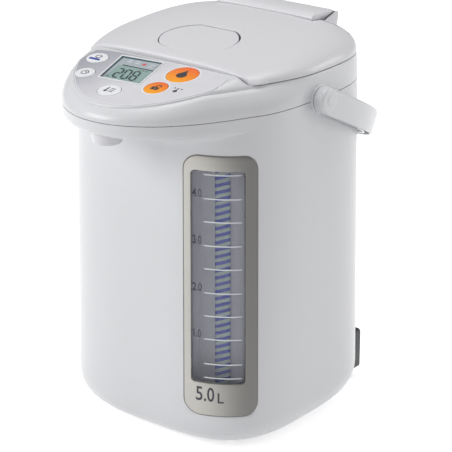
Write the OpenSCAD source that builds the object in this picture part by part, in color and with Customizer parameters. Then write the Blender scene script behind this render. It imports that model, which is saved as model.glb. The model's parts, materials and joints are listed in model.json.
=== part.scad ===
// Electric thermo pot with a pump, a gauge window and a swivel base.
// Origin: on the vertical axis, on the surface the pot stands on. +Z up, spout towards -Y.

/* [Body] */
// Width of the body at the seam
body_w = 210; // [200:1:220]
// Depth of the body behind and in front of the axis together
body_d = 205; // [196:1:215]
// How much wider each side is at the floor than at the top
flare = 4; // [2:0.5:6]
// Squareness of the body outline: 2 is an ellipse, larger is squarer
squareness = 3.2; // [2.8:0.1:3.8]
// Wall thickness of the plastic shells
wall = 2.6; // [2:0.1:3.2]
// Radius of the rounded bottom edge
bottom_r = 31; // [24:1:34]
// Height of the lower edge of the outer case
case_z = 3; // [2:0.5:5]
// Height of the seam between the outer case and the upper housing
seam_z = 296; // [290:1:302]
// Width of the seam gap
seam_gap = 0.3; // [0.2:0.05:0.5]

/* [Spout beak] */
// Reach of the beak in front of the axis
beak_reach = 159; // [150:1:166]
// Height where the beak starts to leave the front wall
beak_start_z = 258; // [250:1:264]
// Height of the flat underside of the beak
beak_under_z = 283.6; // [280:0.2:286]
// Radius of the lower lip of the beak
beak_lip_r = 7; // [5:0.5:9]

/* [Lid] */
// Height of the lid's lower edge
lid_z = 318; // [314:1:322]
// Rise of the lid's dome above that edge, on the axis
dome_rise = 19; // [15:1:24]
// How much the dome climbs towards the hinge, per millimetre
dome_tilt = 0.105; // [0.05:0.005:0.14]
// Front edge of the lid
lid_front_y = -66; // [-70:1:-60]
// Rear edge of the lid
lid_rear_y = 77; // [70:1:82]
// Gap all round the lid
lid_gap = 0.8; // [0.5:0.1:1.2]
// Height of the hinge axis
hinge_z = 338; // [336:0.5:343]
// Hinge pin radius
hinge_pin_r = 2.5; // [2:0.25:3]
// Half width of the hinge barrel
hinge_half_w = 68; // [60:1:74]
// Radius of the hinge barrel
barrel_r = 16; // [14:0.5:17]
// Height of the flat on top of the barrel
barrel_top_z = 348.5; // [345:0.5:352]

/* [Control panel] */
// Slope of the panel, rise per millimetre towards the rear
panel_slope = 0.2; // [0.12:0.01:0.26]
// Height of the panel's top face 100 mm in front of the axis
panel_z = 318.6; // [316:0.2:321]
// Half width of the panel
panel_half_w = 72; // [66:1:76]
// Front tip of the panel
panel_front_y = -149; // [-154:1:-142]
// Thickness of the panel overlay
panel_t = 1.2; // [0.8:0.1:1.6]
// Travel of a key
key_travel = 0.8; // [0.5:0.1:1.2]
// Side clearance round a key
key_gap = 0.35; // [0.3:0.05:0.6]

/* [Water side] */
// Gap between the water container and the case at the sides
insulation_gap = 12.2; // [10:0.2:16]
// Height of the container's inner bottom
tank_floor_z = 64.5; // [58:0.5:70]
// Height where the container's shoulder starts
tank_shoulder_z = 266; // [258:1:270]
// Inner radius of the container's mouth
mouth_r = 58; // [54:0.5:58]
// Sheet thickness of the container
tank_t = 1.2; // [0.8:0.1:1.6]
// Distance of the pump axis behind the container's centre
pump_y = 30; // [20:1:40]
// Radius of the pump shaft
shaft_r = 1.5; // [1.2:0.1:2]
// Running clearance of shafts and pins
run_gap = 0.05; // [0.02:0.01:0.09]
// Clearance between pieces that only sit side by side
fit = 0.3; // [0.25:0.05:0.4]

/* [Gauge window] */
// Angle of the window's left edge round the body outline
win_a0 = 75; // [70:1:78]
// Angle of the window's right edge round the body outline
win_a1 = 32; // [30:1:38]
// Bottom of the window frame
win_z0 = 38; // [34:1:46]
// Top of the window frame
win_z1 = 264; // [250:1:266]
// Corner radius of the window frame
win_corner_r = 12; // [8:1:13]
// Width of the frame left of the glass
frame_left = 5; // [4:0.5:7]
// Width of the frame right of the glass
frame_right = 11; // [8:0.5:13]
// Height of the frame above the glass
frame_head = 12.5; // [8:0.5:14]
// Height of the frame under the glass, where the capacity stands
frame_foot = 29; // [20:1:34]
// Outer radius of the gauge tube
gauge_r = 6; // [5:0.5:7]

/* [Handle] */
// Height of the handle's pivot
pivot_z = 296; // [294:0.5:298]
// Radius of the handle's pivot pins
pivot_r = 4; // [3:0.25:5]
// Inner face of the handle's arm, from the middle
arm_in = 107.6; // [107:0.2:110]
// Thickness of the arm
arm_t = 8.4; // [7:0.2:9]
// Height of the arm's section
arm_h = 22; // [18:0.5:24]
// Length of the handle from its pivot to the middle of the grip
handle_len = 146; // [138:1:152]
// Angle of the handle below level when it is down
handle_drop = 25.5; // [20:0.5:30]

/* [Base] */
// Radius of the swivel base
swivel_r = 68; // [60:1:72]
// Thickness of the swivel base plate
swivel_t = 4.5; // [3.5:0.5:5]
// Height of the rubber feet
foot_h = 1.5; // [1:0.25:2]
// Radius of the swivel spindle
spindle_r = 8; // [6:0.5:10]

/* [Hidden] */
$fn = 48;

half_w = body_w / 2;
half_d = body_d / 2;
lid_half_w = half_w - 1;
lid_half_d = half_d - 1;
pivot_x = arm_in + arm_t;
hinge_y = lid_rear_y + 1.5;
tank_out_r = half_w - wall - insulation_gap;
tank_r = tank_out_r - tank_t;
panel_tilt = atan(panel_slope);
plate_z = foot_h + swivel_t + fit;
plate_top_z = plate_z + 3.5;
// Directions round an outline, closer together at its corners
REAR = [0, 12, 22, 29, 34, 38.5, 42.5, 47, 51.5, 57, 64, 72, 81];
FRONT = [0, 12, 22, 29, 34, 38.5, 42.5, 47, 52, 57.5, 63, 68.5, 74, 79.5, 85];
ANGLES = concat(REAR, [90], [for (a = reversed(REAR)) 180 - a], [for (a = FRONT) if (a > 0) 180 + a], [270],
    [for (a = reversed(FRONT)) if (a > 0) 360 - a]);

// ---------- Outlines and lofts ----------

function bend(v, p) = sign(v) * pow(abs(v), 2 / p);
// Distance from the axis to a superellipse in a direction
function reach(a, w, d, p) = pow(pow(abs(cos(a)) / w, p) + pow(abs(sin(a)) / d, p), -1 / p);
function soft(v) = v <= 0 ? 0 : v * v / (v + 4);
// One closed outline: half width, half depth, reach of the beak, share of the beak that shows
function outline(w, d, front, share, z) = [for (a = ANGLES)
    let (body = reach(a, w, d, squareness), beak = sin(a) < 0 ? reach(a, w, front + 3.7, 2) : 0,
        r = body + share * soft(beak - body)) [r * cos(a), r * sin(a), z]];
function side_w(z) = half_w + flare * (1 - z / 300);
function side_d(z) = half_d + flare * (1 - z / 300);
function body_ring(z, inset) = outline(side_w(z) - inset, side_d(z) - inset, 0, 0, z);
// Point on the front-right of the body wall, at an angle round the outline and a depth under the surface
function wall_point(a, z, depth) =
    let (c = cos(a), s = sin(a), w = side_w(z), d = side_d(z),
         x = w * bend(c, squareness), y = d * bend(s, squareness),
         nx = pow(abs(x) / w, squareness - 1) / w, ny = pow(abs(y) / d, squareness - 1) / d,
         n = norm([nx, ny]))
    [x - depth * nx / n, -(y - depth * ny / n), z];
function lerp(a, b, u) = a + (b - a) * u;
function reversed(list) = [for (i = [len(list) - 1:-1:0]) list[i]];
function ramp(v, lo, hi) = let (u = min(max((v - lo) / (hi - lo), 0), 1)) u * u * (3 - 2 * u);

// Skin through a list of rings, with both ends closed by fans
module capped_loft(rings) {
    n = len(rings[0]);
    m = len(rings);
    mid_a = [for (k = [0:2]) [for (q = rings[0]) q[k]] * [for (q = rings[0]) 1 / n]];
    mid_b = [for (k = [0:2]) [for (q = rings[m - 1]) q[k]] * [for (q = rings[m - 1]) 1 / n]];
    points = concat([for (r = rings) each r], [mid_a, mid_b]);
    polyhedron(points, concat(walls(n, m),
        [for (i = [0:n - 1]) [n * m, i, (i + 1) % n]],
        [for (i = [0:n - 1]) [n * m + 1, (m - 1) * n + (i + 1) % n, (m - 1) * n + i]]), convexity = 8);
}
function walls(n, m) = [for (j = [0:m - 2]) for (i = [0:n - 1]) let (k = (i + 1) % n) each
    [[j * n + i, (j + 1) * n + i, (j + 1) * n + k], [j * n + i, (j + 1) * n + k, j * n + k]]];
// The same with flat ends, for sections that are not convex
module flat_loft(rings) {
    n = len(rings[0]);
    m = len(rings);
    polyhedron([for (r = rings) each r], concat(walls(n, m), [[for (i = [0:n - 1]) i]],
        [[for (i = [n - 1:-1:0]) (m - 1) * n + i]]), convexity = 8);
}
// Skin through a list of rings that returns to the first ring
module looped_loft(rings) {
    n = len(rings[0]);
    m = len(rings);
    polyhedron([for (r = rings) each r],
        [for (j = [0:m - 1]) for (i = [0:n - 1]) let (k = (i + 1) % n, l = (j + 1) % m) each
            [[j * n + i, l * n + i, l * n + k], [j * n + i, l * n + k, j * n + k]]], convexity = 8);
}

// ---------- Lid surface ----------

// How the sides of the lid and of the housing's rim draw in towards the front
function pinch(y) = 1 - 0.11 * ramp(-y, 0, 75);
function tuck(y) = 1 - 0.055 * ramp(-y, 60, 150);
// Outline of the dome, scaled by s, at its height less a drop
function dome_ring(s, drop) = [for (a = ANGLES)
    let (r = s * reach(a, lid_half_w, lid_half_d, squareness), x = r * cos(a), y = r * sin(a))
    [x * pinch(y), y, lid_z + 0.4 - drop + (dome_rise + dome_tilt * y) * pow(1 - pow(s, 2.9), 1 / 2.33)]];
DOME_STEPS = [0.997, 0.985, 0.96, 0.92, 0.86, 0.78, 0.67, 0.52, 0.34, 0.15];
// Solid under the dome, from a floor height up
module dome_solid(drop, inset, floor_z, steps = DOME_STEPS) {
    k = 1 - inset / lid_half_w;
    base = [for (q = dome_ring(k, 0)) [q[0], q[1], floor_z]];
    skirt = [for (q = dome_ring(k, 0)) [q[0], q[1], lid_z + 0.4 - drop]];
    capped_loft(concat([base, skirt], [for (s = steps) dome_ring(s * k, drop)]));
}
// Outline of the lid seen from above, moved inwards by an amount
function side_x(y, inset) = pinch(y) * (half_w - 0.9 - inset)
    * pow(1 - pow(abs(y) / (half_d - 0.9 - inset), squareness), 1 / squareness);
function lid_outline(inset) = let (
        corner = [side_x(-50, inset), -50],
        right = concat([for (u = [0:0.1:1]) let (y = lerp(lid_rear_y - inset, -50, u)) [side_x(y, inset), y]],
            [for (u = [0.125:0.125:1]) corner * (1 - u) * (1 - u) + [88 - inset, -72 + inset] * 2 * u * (1 - u)
                + [70, lid_front_y + inset] * u * u]))
    concat(reversed(right), [for (q = right) [-q[0], q[1]]]);

// ---------- Outer shells ----------

// Reach and squareness of the beak's part of the outer case at a height
function beak_share(z) = z <= beak_start_z ? 0 :
    1 - pow(max(0, 1 - pow((z - beak_start_z) / (beak_under_z - beak_start_z), 3)), 1 / 3);
function beak_ring(z) = outline(side_w(z), side_d(z), beak_reach - beak_lip_r, beak_share(z), z);
// Height where the case ends and the spout base starts, just above the window
joint_z = win_z1 + 2;
function case_rings() = concat(
    [for (a = [90:-15:15]) body_ring(case_z + bottom_r * (1 - sin(a)), bottom_r * (1 - cos(a)))],
    [body_ring(case_z + bottom_r, 0), body_ring(150, 0)],
    [for (z = [beak_start_z, joint_z - seam_gap / 2]) if (z < joint_z) beak_ring(z)]);
BEAK_STEPS = [0, 0.46, 0.62, 0.78, 0.89, 0.96, 1];
function spout_rings() = concat([beak_ring(joint_z + seam_gap / 2)],
    [for (u = BEAK_STEPS) let (z = lerp(beak_start_z, beak_under_z, u)) if (z > joint_z + 1) beak_ring(z)],
    [for (a = [30, 60, 90]) let (z = beak_under_z + beak_lip_r * (1 - cos(a)))
        outline(side_w(z), side_d(z), beak_reach - beak_lip_r * (1 - sin(a)), 1, z)],
    [outline(half_w, half_d, beak_reach, 1, seam_z - seam_gap / 2)]);
// The same skin moved inwards by a thickness, square to the surface
function thicken(rings, t) = let (m = len(rings), n = len(rings[0]))
    [for (j = [0:m - 1]) [for (i = [0:n - 1]) let (
        along = rings[j][(i + 1) % n] - rings[j][(i + n - 1) % n],
        up = rings[min(j + 1, m - 1)][i] - rings[max(j - 1, 0)][i],
        out = cross(along, up)) rings[j][i] - t * out / norm(out)]];

module outer_case() {
    color("white") difference() {
        looped_loft(concat(case_rings(), reversed(thicken(case_rings(), wall))));
        window_block(8, -40, fit);
        inlet_cutout();
        at_screws() cylinder(r = screw_r + 0.2, h = 8);
    }
}
// Ring on top of the case that carries the lower half of the beak
module spout_base() {
    color("white") difference() {
        looped_loft(concat(spout_rings(), reversed(thicken(spout_rings(), wall))));
        pivot_stem_holes();
        nozzle_hole();
    }
}

function panel_top(y) = panel_z - panel_t + panel_slope * (min(y, lid_front_y) + 100);
// Height of the housing's top: the panel's slope, with a rounded shoulder down to the rim at the sides
ledge_z = lid_z - 0.4;
shoulder_w = 12;
shoulder_h = panel_top(lid_front_y) - ledge_z;
function top_z(y, inset) =
    min(panel_top(y), ledge_z + shoulder_h * (1 - pow(1 - min(inset / shoulder_w, 1), 2)));
// One outline of the housing: share of the lean to the rim, extra inset, height or drop below the rim
function housing_ring(share, inset, z, drop) =
    [for (q = outline(half_w - share, half_d - share, beak_reach, 1, 0))
        let (k = 1 - inset / norm([q[0], q[1]]), x = q[0] * lerp(1, pinch(q[1]), share) * k,
             y = q[1] * lerp(1, tuck(q[1]), share) * k)
        [x, y, is_undef(z) ? top_z(y, inset) - drop : z]];
function housing_rings() = let (low = seam_z + seam_gap / 2, rim = housing_ring(1, 0, undef, 1)) concat(
    [housing_ring(0, 0, low, 0)],
    [for (u = [0.35, 0.65, 0.88]) [for (i = [0:len(rim) - 1]) let (q = housing_ring(pow(u, 2.4), 0, low, 0)[i])
        [q[0], q[1], lerp(low, rim[i][2], u)]]],
    [rim, housing_ring(1, 1.6, undef, 0.25), housing_ring(1, 5, undef, 0)],
    [for (inset = [shoulder_w, 26, 45, 70, 88]) housing_ring(1, inset, undef, 0)]);

pocket_z = lid_z - 12;
collar_r = mouth_r + 10;
module upper_housing() {
    color("white") difference() {
        capped_loft(housing_rings());
        // seat of the lid's frame, and the space of the lid and the rear cover
        translate([0, 0, pocket_z]) linear_extrude(60) polygon(lid_outline(3));
        translate([0, 0, ledge_z]) linear_extrude(60) polygon(lid_outline(-lid_gap / 2));
        translate([-200, lid_front_y + 4, ledge_z]) cube([400, 400, 60]);
        // mouth
        translate([0, 4, seam_z - 10]) cylinder(r = collar_r + fit, h = 40);
        // room under the deck and under the panel
        difference() {
            capped_loft(concat([[for (q = thicken(housing_rings(), wall)[0]) [q[0], q[1], seam_z - 5]]],
                thicken(housing_rings(), wall)));
            translate([-200, lid_front_y - wall - 1, pocket_z - wall]) cube([400, 400, 80]);
        }
        panel_holes(key_gap);
        on_panel() translate([screen_x - screen_w / 2 + 1, screen_y - screen_h / 2 + 1, -12])
            cube([screen_w - 2, screen_h - 2, 20]);
        pivot_stem_holes();
        // slot that the latch enters
        translate([-12, lid_front_y - 1.5, lid_z - 5.2]) cube([24, 8, 4.4]);
    }
}

module base_plate() {
    color("gainsboro") difference() {
        union() {
            translate([0, 0, plate_z]) linear_extrude(plate_top_z - plate_z)
                polygon([for (q = body_ring(case_z, bottom_r - 5)) [q[0], q[1]]]);
            // ring that the swivel base turns in
            difference() {
                translate([0, 0, case_z]) cylinder(r = swivel_r + 4, h = plate_z - case_z + 0.5);
                translate([0, 0, -1]) cylinder(r = swivel_r + 1, h = plate_z + 1);
            }
            translate([0, 0, plate_z]) cylinder(r = spindle_r + 5, h = 9);
        }
        translate([0, 0, -1]) cylinder(r = spindle_r + run_gap, h = 40);
        at_screws() cylinder(r = screw_r + 0.02, h = 20);
    }
}

// Cylinder about the lid's hinge axis
module about_hinge(r, half_len) {
    translate([-half_len, hinge_y, hinge_z]) rotate([0, 90, 0]) cylinder(r = r, h = 2 * half_len);
}
module rear_cover() {
    // Fixed rear part of the dome with a saddle for the hinge barrel and two lugs for the pin
    color("white") difference() {
        union() {
            dome_solid(0, 0, lid_z - 0.2, [for (s = DOME_STEPS) if (s > 0.6) s]);
            about_hinge(barrel_r + 0.6 + wall, hinge_half_w + 0.7 + wall);
        }
        translate([-200, -200, 0]) cube([400, 200 + lid_rear_y + lid_gap, 400]);
        translate([-200, 0, 0]) cube([400, 200, lid_z - 0.2]);
        about_hinge(barrel_r + 0.6, hinge_half_w + 0.7);
        translate([-200, 0, hinge_z + 4]) cube([400, 200, 40]);
        translate([-hinge_half_w - 0.7, hinge_y - 20, hinge_z]) cube([2 * hinge_half_w + 1.4, 20 + barrel_r, 40]);
    }
    color("white") difference() {
        for (side = [-1, 1]) translate([side * 56 - 4, 0, 0]) {
            translate([0, hinge_y, hinge_z]) rotate([0, 90, 0]) cylinder(r = 5.5, h = 8);
            translate([0, hinge_y - 0.6, lid_z + 0.5]) cube([8, 6.1, hinge_z - lid_z]);
        }
        about_hinge(hinge_pin_r + 0.02, 100);
    }
}

// ---------- Control panel ----------

module on_panel() {
    translate([0, -100, panel_z - panel_t]) rotate([panel_tilt, 0, 0]) children();
}
// Outline of the panel in its own plane
function panel_outline() = let (front = panel_front_y + 100, wide = 14, rear = -lid_front_y) concat(
    [for (a = [0:6:180]) [panel_half_w * cos(a) * 0.985, wide - (wide - front) * sin(a)]],
    [for (u = [0:0.125:1]) let (x = lerp(-panel_half_w + 2, panel_half_w - 2, u))
        [x, lerp(100 + lid_front_y - 1.4, wide + 12, pow(abs(x / panel_half_w), 4))]]);

// place of each key in the panel's plane: x, y, half width, half depth
KEYS = [[30.6, 17, 16.4, 13.6], [25.6, -10, 12, 9.6], [-57.6, 14, 9.6, 7.4], [-48.6, -12, 8.6, 6.8], [-7.5, -29.5, 10, 6.8]];
screen_x = -15.5;
screen_y = 7.5;
screen_w = 43.5;
screen_h = 41;

module key_prism(k, grow, z, h) {
    translate([k[0], k[1], z]) linear_extrude(h) scale([k[2] + grow, k[3] + grow]) circle(r = 1, $fn = 56);
}
module key_bore(k, grow) { key_prism(k, grow, -8, 16); }
module panel_holes(gap) {
    on_panel() for (k = KEYS) key_bore(k, gap);
}
module control_panel() {
    color("silver") on_panel() difference() {
        translate([0, 0, 0.02]) linear_extrude(panel_t) polygon(panel_outline());
        for (k = KEYS) key_bore(k, key_gap);
        translate([screen_x - screen_w / 2, screen_y - screen_h / 2, -2]) cube([screen_w, screen_h, 6]);
    }
}
module panel_lens() {
    color("palegreen") on_panel() translate([screen_x - screen_w / 2 + fit, screen_y - screen_h / 2 + fit, 0.02])
        cube([screen_w - 2 * fit, screen_h - 2 * fit, panel_t]);
}
module display_module() {
    color("darkseagreen") on_panel() translate([screen_x - screen_w / 2 + 1.5, screen_y - screen_h / 2 + 1.5, -7.2])
        cube([screen_w - 3, screen_h - 3, 6.6]);
}
module control_board() {
    color("darkgreen") on_panel() difference() {
        translate([-56, -32, -9.1]) cube([112, 53, 1.6]);
        for (side = [-1, 1]) translate([side * 51 - 8, -33, -10]) cube([16, 17, 4]);
    }
}
module key(k, tint) {
    color(tint) on_panel() {
        key_prism(k, 0, -1.5, 1.5 + panel_t + 0.4);
        translate([k[0], k[1], -5.5]) cylinder(r = 2.5, h = 4.1);
    }
}
module dispense_key() { key(KEYS[0], "orange"); }
module unlock_key() { key(KEYS[1], "orange"); }
module reboil_key() { key(KEYS[2], "white"); }
module timer_key() { key(KEYS[3], "white"); }
module temp_key() { key(KEYS[4], "white"); }

// ---------- Lid ----------

lever_front = -52;
lever_rear = 2;
lever_half_w = 35;
lever_axis_y = -3;
lever_axis_z = lid_z + 15.2;
lever_pin_r = 1.2;
// Gap round the lever, and the extra behind it where its rear edge swings back
lever_gap = 0.7;
lever_swing_gap = 0.7;
post_x = 16;
post_top = lever_axis_z + lever_pin_r + 0.6;
module lever_axis(r, half_len) {
    translate([-half_len, lever_axis_y, lever_axis_z]) rotate([0, 90, 0]) cylinder(r = r, h = 2 * half_len);
}
module lever_outline(grow) {
    intersection() {
        translate([0, lever_front + 62]) circle(r = 62 + grow, $fn = 96);
        translate([0, (lever_front + lever_rear) / 2]) scale([1, 0.86]) circle(r = lever_half_w + grow, $fn = 64);
    }
}
module lid_cover() {
    color("white") difference() {
        intersection() {
            dome_solid(0, 0, lid_z + 0.4);
            translate([0, 0, lid_z - 20]) linear_extrude(80) polygon(lid_outline(lid_gap / 2));
        }
        intersection() {
            dome_solid(wall, wall, lid_z - 10);
            translate([0, 0, lid_z - 20]) linear_extrude(80) polygon(lid_outline(lid_gap / 2 + wall));
        }
        for (back = [0, lever_swing_gap]) translate([0, back, lid_z]) linear_extrude(60) lever_outline(lever_gap);
        // the front face leans back so that it swings clear of the panel
        translate([0, lid_front_y + lid_gap / 2, lid_z + 8]) rotate([8.5, 0, 0])
            translate([-200, -50, -50]) cube([400, 50, 100]);
        about_hinge(barrel_r + 0.4, hinge_half_w + 0.4);
        translate([-hinge_half_w - 0.4, hinge_y, lid_z - 5]) cube([2 * hinge_half_w + 0.8, 40, 60]);
    }
}
module hinge_cover() {
    color("white") difference() {
        about_hinge(barrel_r, hinge_half_w);
        about_hinge(barrel_r - wall, hinge_half_w - wall);
        translate([-200, 0, barrel_top_z]) cube([400, 200, 40]);
        translate([-200, hinge_y - 30, lid_z - 20]) cube([400, 30.1, hinge_z - lid_z + 19]);
        translate([-200, hinge_y, lid_z - 20]) cube([400, 30, hinge_z - lid_z + 24.4]);
        about_hinge(hinge_pin_r + 0.5, 100);
    }
    color("white") difference() {
        translate([-hinge_half_w + 1, hinge_y - 11, barrel_top_z - wall]) cube([2 * hinge_half_w - 2, 22, wall]);
        about_hinge(hinge_pin_r + 0.5, 100);
    }
}
module lid_base() {
    frame_front = 3.6;
    color("gainsboro") difference() {
        union() {
            translate([0, 0, lid_z - 8]) linear_extrude(3) intersection() {
                polygon(lid_outline(lid_gap / 2 + 3 + frame_front));
                translate([-100, -200]) square([200, 200 + hinge_y - 16]);
            }
            // hinge arms up to the pin
            for (side = [-1, 1]) translate([side * 42 - 6, 0, 0]) {
                hull() {
                    translate([0, hinge_y, hinge_z]) rotate([0, 90, 0]) cylinder(r = 5.5, h = 12, $fn = 32);
                    translate([0, hinge_y - 22, lid_z - 8]) cube([12, 4, 6]);
                }
            }
            // plug into the mouth
            translate([0, 4, seam_z + 2]) cylinder(r1 = mouth_r - 8, r2 = mouth_r - 3, h = lid_z - 6 - seam_z - 2);
        }
        translate([0, 4, seam_z + 4.6]) cylinder(r1 = mouth_r - 10.4, r2 = mouth_r - 5, h = lid_z - 4 - seam_z - 4);
        translate([0, 4, 0]) cylinder(r = 7 + fit, h = 400);
        about_hinge(hinge_pin_r + run_gap, 100);
    }
    // bearing posts of the lever pin
    color("gainsboro") difference() {
        for (side = [-1, 1]) translate([side * post_x - 3, lever_axis_y - 3, seam_z + 3])
            cube([6, 4.9, post_top - seam_z - 3]);
        lever_axis(lever_pin_r + 0.02, 60);
    }
}
module lid_liner() {
    color("silver") translate([0, 4, 0]) rotate_extrude() polygon([[3, seam_z - 1], [mouth_r - 10, seam_z - 1],
        [mouth_r - 6.4, seam_z + 1.4], [mouth_r - 1.6, lid_z - 8.6], [mouth_r - 2.3, lid_z - 8.6],
        [mouth_r - 7.1, seam_z + 1.9], [mouth_r - 10.3, seam_z - 0.2], [3, seam_z - 0.2]]);
}
module steam_valve() {
    color("white") translate([0, 4, seam_z]) difference() {
        cylinder(r = 7, h = 22);
        translate([0, 0, 2]) cylinder(r = 5.4, h = 30);
        translate([0, 0, -1]) cylinder(r = 2, h = 6);
    }
}
module lid_gasket() {
    color("dimgray") translate([0, 4, 0]) rotate_extrude() translate([mouth_r + 1.4, pocket_z + 1.3])
        square([5, 2.4]);
}
module lid_lever() {
    lever_steps = [for (s = DOME_STEPS) if (s < 0.7) s];
    color("white") difference() {
        union() {
            difference() {
                intersection() {
                    dome_solid(0.3, 0, lid_z + 2, lever_steps);
                    translate([0, 0, lid_z]) linear_extrude(60) lever_outline(0);
                    translate([-60, lever_front - 20, lid_z]) cube([120, lever_rear - lever_front + 19.2, 60]);
                }
                dome_solid(3.2, 0, lid_z - 10, lever_steps);
            }
            lever_axis(2.5, 11);
        }
        lever_axis(lever_pin_r + run_gap, 60);
        lever_axis(2.3, 4);
        for (side = [-1, 1]) translate([side * post_x - 3.7, lever_axis_y - 5, lid_z]) cube([7.4, 20, post_top - lid_z + 0.8]);
    }
}
module lever_pin() {
    color("silver") lever_axis(lever_pin_r, 19.5);
}
module lever_spring() {
    color("silver") difference() {
        lever_axis(2, 3.6);
        lever_axis(lever_pin_r + 0.3, 4);
    }
}
module lid_latch() {
    color("gray") union() {
        translate([-10, lid_front_y, lid_z - 4.7]) cube([20, 14, 3.4]);
        translate([-16, lid_front_y + 13, lid_z - 4.7]) cube([32, 12, 3]);
    }
}
module hinge_pin() {
    color("silver") about_hinge(hinge_pin_r, 62);
}

// ---------- Water side ----------

module mouth_collar() {
    color("whitesmoke") translate([0, 4, 0]) rotate_extrude() polygon([[mouth_r + 1.5, seam_z - 4],
        [collar_r - 3, seam_z - 4], [collar_r - 3, seam_z + 2], [collar_r, seam_z + 4], [collar_r, pocket_z],
        [collar_r - 1, pocket_z + 1], [mouth_r + 1.5, pocket_z + 1]]);
}
function tank_profile(r, t) = concat(
    [for (a = [-90:15:0]) [r - 22 + (22 + t) * cos(a), tank_floor_z + 22 + (22 + t) * sin(a)]],
    [for (a = [0:15:90]) [mouth_r + t + (r - mouth_r) * cos(a), tank_shoulder_z + (18 + t) * sin(a)]],
    [[mouth_r + t, pocket_z - 4]]);
module inner_container() {
    color("silver") difference() {
        translate([0, 4, 0]) rotate_extrude($fn = 96) difference() {
            polygon(concat([[0, tank_floor_z - tank_t]], tank_profile(tank_r, tank_t), [[0, pocket_z - 4]]));
            polygon(concat([[0, tank_floor_z]], tank_profile(tank_r, 0), [[mouth_r, 400], [0, 400]]));
        }
        translate([0, pump_y + 4, tank_floor_z - 9]) cylinder(r = 5, h = 18);
    }
}
module band_heater() {
    color("goldenrod") translate([0, 4, tank_floor_z + 24]) difference() {
        cylinder(r = tank_out_r + 2.2, h = 26, $fn = 96);
        translate([0, 0, -1]) cylinder(r = tank_out_r + fit, h = 28, $fn = 96);
    }
}
module base_heater() {
    color("dimgray") translate([0, 4, tank_floor_z - tank_t - 4 - fit]) difference() {
        cylinder(r = 52, h = 4);
        translate([0, 0, -1]) cylinder(r = 16, h = 6);
        translate([0, pump_y, -1]) cylinder(r = 12, h = 6);
    }
}
module thermostat() {
    color("ivory") translate([0, 4, tank_floor_z - tank_t - 10 - fit]) cylinder(r = 8, h = 10);
}
pump_z = 44;
module pump_case() {
    color("ivory") translate([0, pump_y + 4, 0]) difference() {
        union() {
            translate([0, 0, pump_z - 9]) cylinder(r = 20, h = 12);
            translate([0, 0, pump_z + 3]) cylinder(r = 9, h = tank_floor_z - pump_z - 3 - tank_t - 1.6);
            translate([10, 0, pump_z - 4]) rotate([90, 0, 90]) cylinder(r = 5, h = 24);
        }
        translate([0, 0, pump_z - 6.5]) cylinder(r = 16, h = 7);
        translate([0, 0, pump_z]) cylinder(r = 6, h = 40);
        translate([10, 0, pump_z - 4]) rotate([90, 0, 90]) cylinder(r = 3.4, h = 30);
        translate([0, 0, pump_z - 20]) cylinder(r = shaft_r + run_gap, h = 16);
    }
}
module impeller() {
    color("white") translate([0, pump_y + 4, pump_z - 5.8]) union() {
        difference() {
            cylinder(r = 14, h = 1.6);
            translate([0, 0, -1]) cylinder(r = shaft_r, h = 4);
        }
        difference() {
            cylinder(r = 3.4, h = 5);
            translate([0, 0, -1]) cylinder(r = shaft_r, h = 14);
        }
        for (i = [0:5]) rotate([0, 0, 60 * i]) translate([3, -0.6, 1.2]) cube([10, 1.2, 3.8]);
    }
}
module pump_motor() {
    color("silver") translate([0, pump_y + 4, 0]) difference() {
        translate([0, 0, plate_top_z + fit]) cylinder(r = 15, h = pump_z - 9 - plate_top_z - 2 * fit);
        translate([0, 0, plate_top_z + 3]) cylinder(r = 12, h = 18);
        translate([0, 0, plate_top_z + 1]) cylinder(r = shaft_r + run_gap, h = 40);
    }
}
module motor_magnet() {
    color("dimgray") translate([0, pump_y + 4, 0]) union() {
        translate([0, 0, plate_top_z + 4]) cylinder(r = 9, h = 15);
        translate([0, 0, plate_top_z + 1.5]) cylinder(r = shaft_r, h = pump_z - 5.8 - plate_top_z + 2);
    }
}
module inlet_seal() {
    color("lightgray") translate([0, pump_y + 4, tank_floor_z - tank_t - 1.5]) difference() {
        cylinder(r = 8.6, h = 1.4);
        translate([0, 0, -1]) cylinder(r = 5, h = 4);
    }
}
// Water path: pump outlet, gauge tube behind the window, tip valve, nozzle
gauge_a = 54.4;
gauge_depth = 14;
gauge_pos = wall_point(gauge_a, 150, gauge_depth);
module tube_along(path, r_out) {
    n = 10;
    function frame(i) = let (a = path[max(i - 1, 0)], b = path[min(i + 1, len(path) - 1)], d = (b - a) / norm(b - a),
        ref = abs(d[2]) < 0.8 ? [0, 0, 1] : [0, 1, 0], u = cross(d, ref) / norm(cross(d, ref))) [u, cross(d, u)];
    capped_loft([for (i = [0:len(path) - 1]) [for (k = [0:n - 1]) path[i]
        + r_out * (frame(i)[0] * cos(36 * k) + frame(i)[1] * sin(36 * k))]]);
}
module lower_hose() {
    a = [34.6, pump_y + 4, pump_z - 4];
    b = [gauge_pos[0], gauge_pos[1], win_z0 + 8];
    color("lightgray") tube_along([a, a + [10, -1, 0], a + [22, -8, 0], [72, -5, pump_z - 4], [80, -30, pump_z - 4],
        [b[0] + 1, b[1] + 12, pump_z - 5], [b[0], b[1] + 5, pump_z - 4], [b[0], b[1] + 1, pump_z - 1], b], 4.4);
}
module gauge_tube() {
    color("lightcyan") translate([gauge_pos[0], gauge_pos[1], win_z0 + 8.3]) difference() {
        cylinder(r = gauge_r, h = win_z1 - win_z0 - 10);
        translate([0, 0, -1]) cylinder(r = gauge_r - 1.2, h = win_z1);
    }
}
valve_y = -122;
valve_z = seam_z - 3.6;
ball_r = 4;
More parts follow.
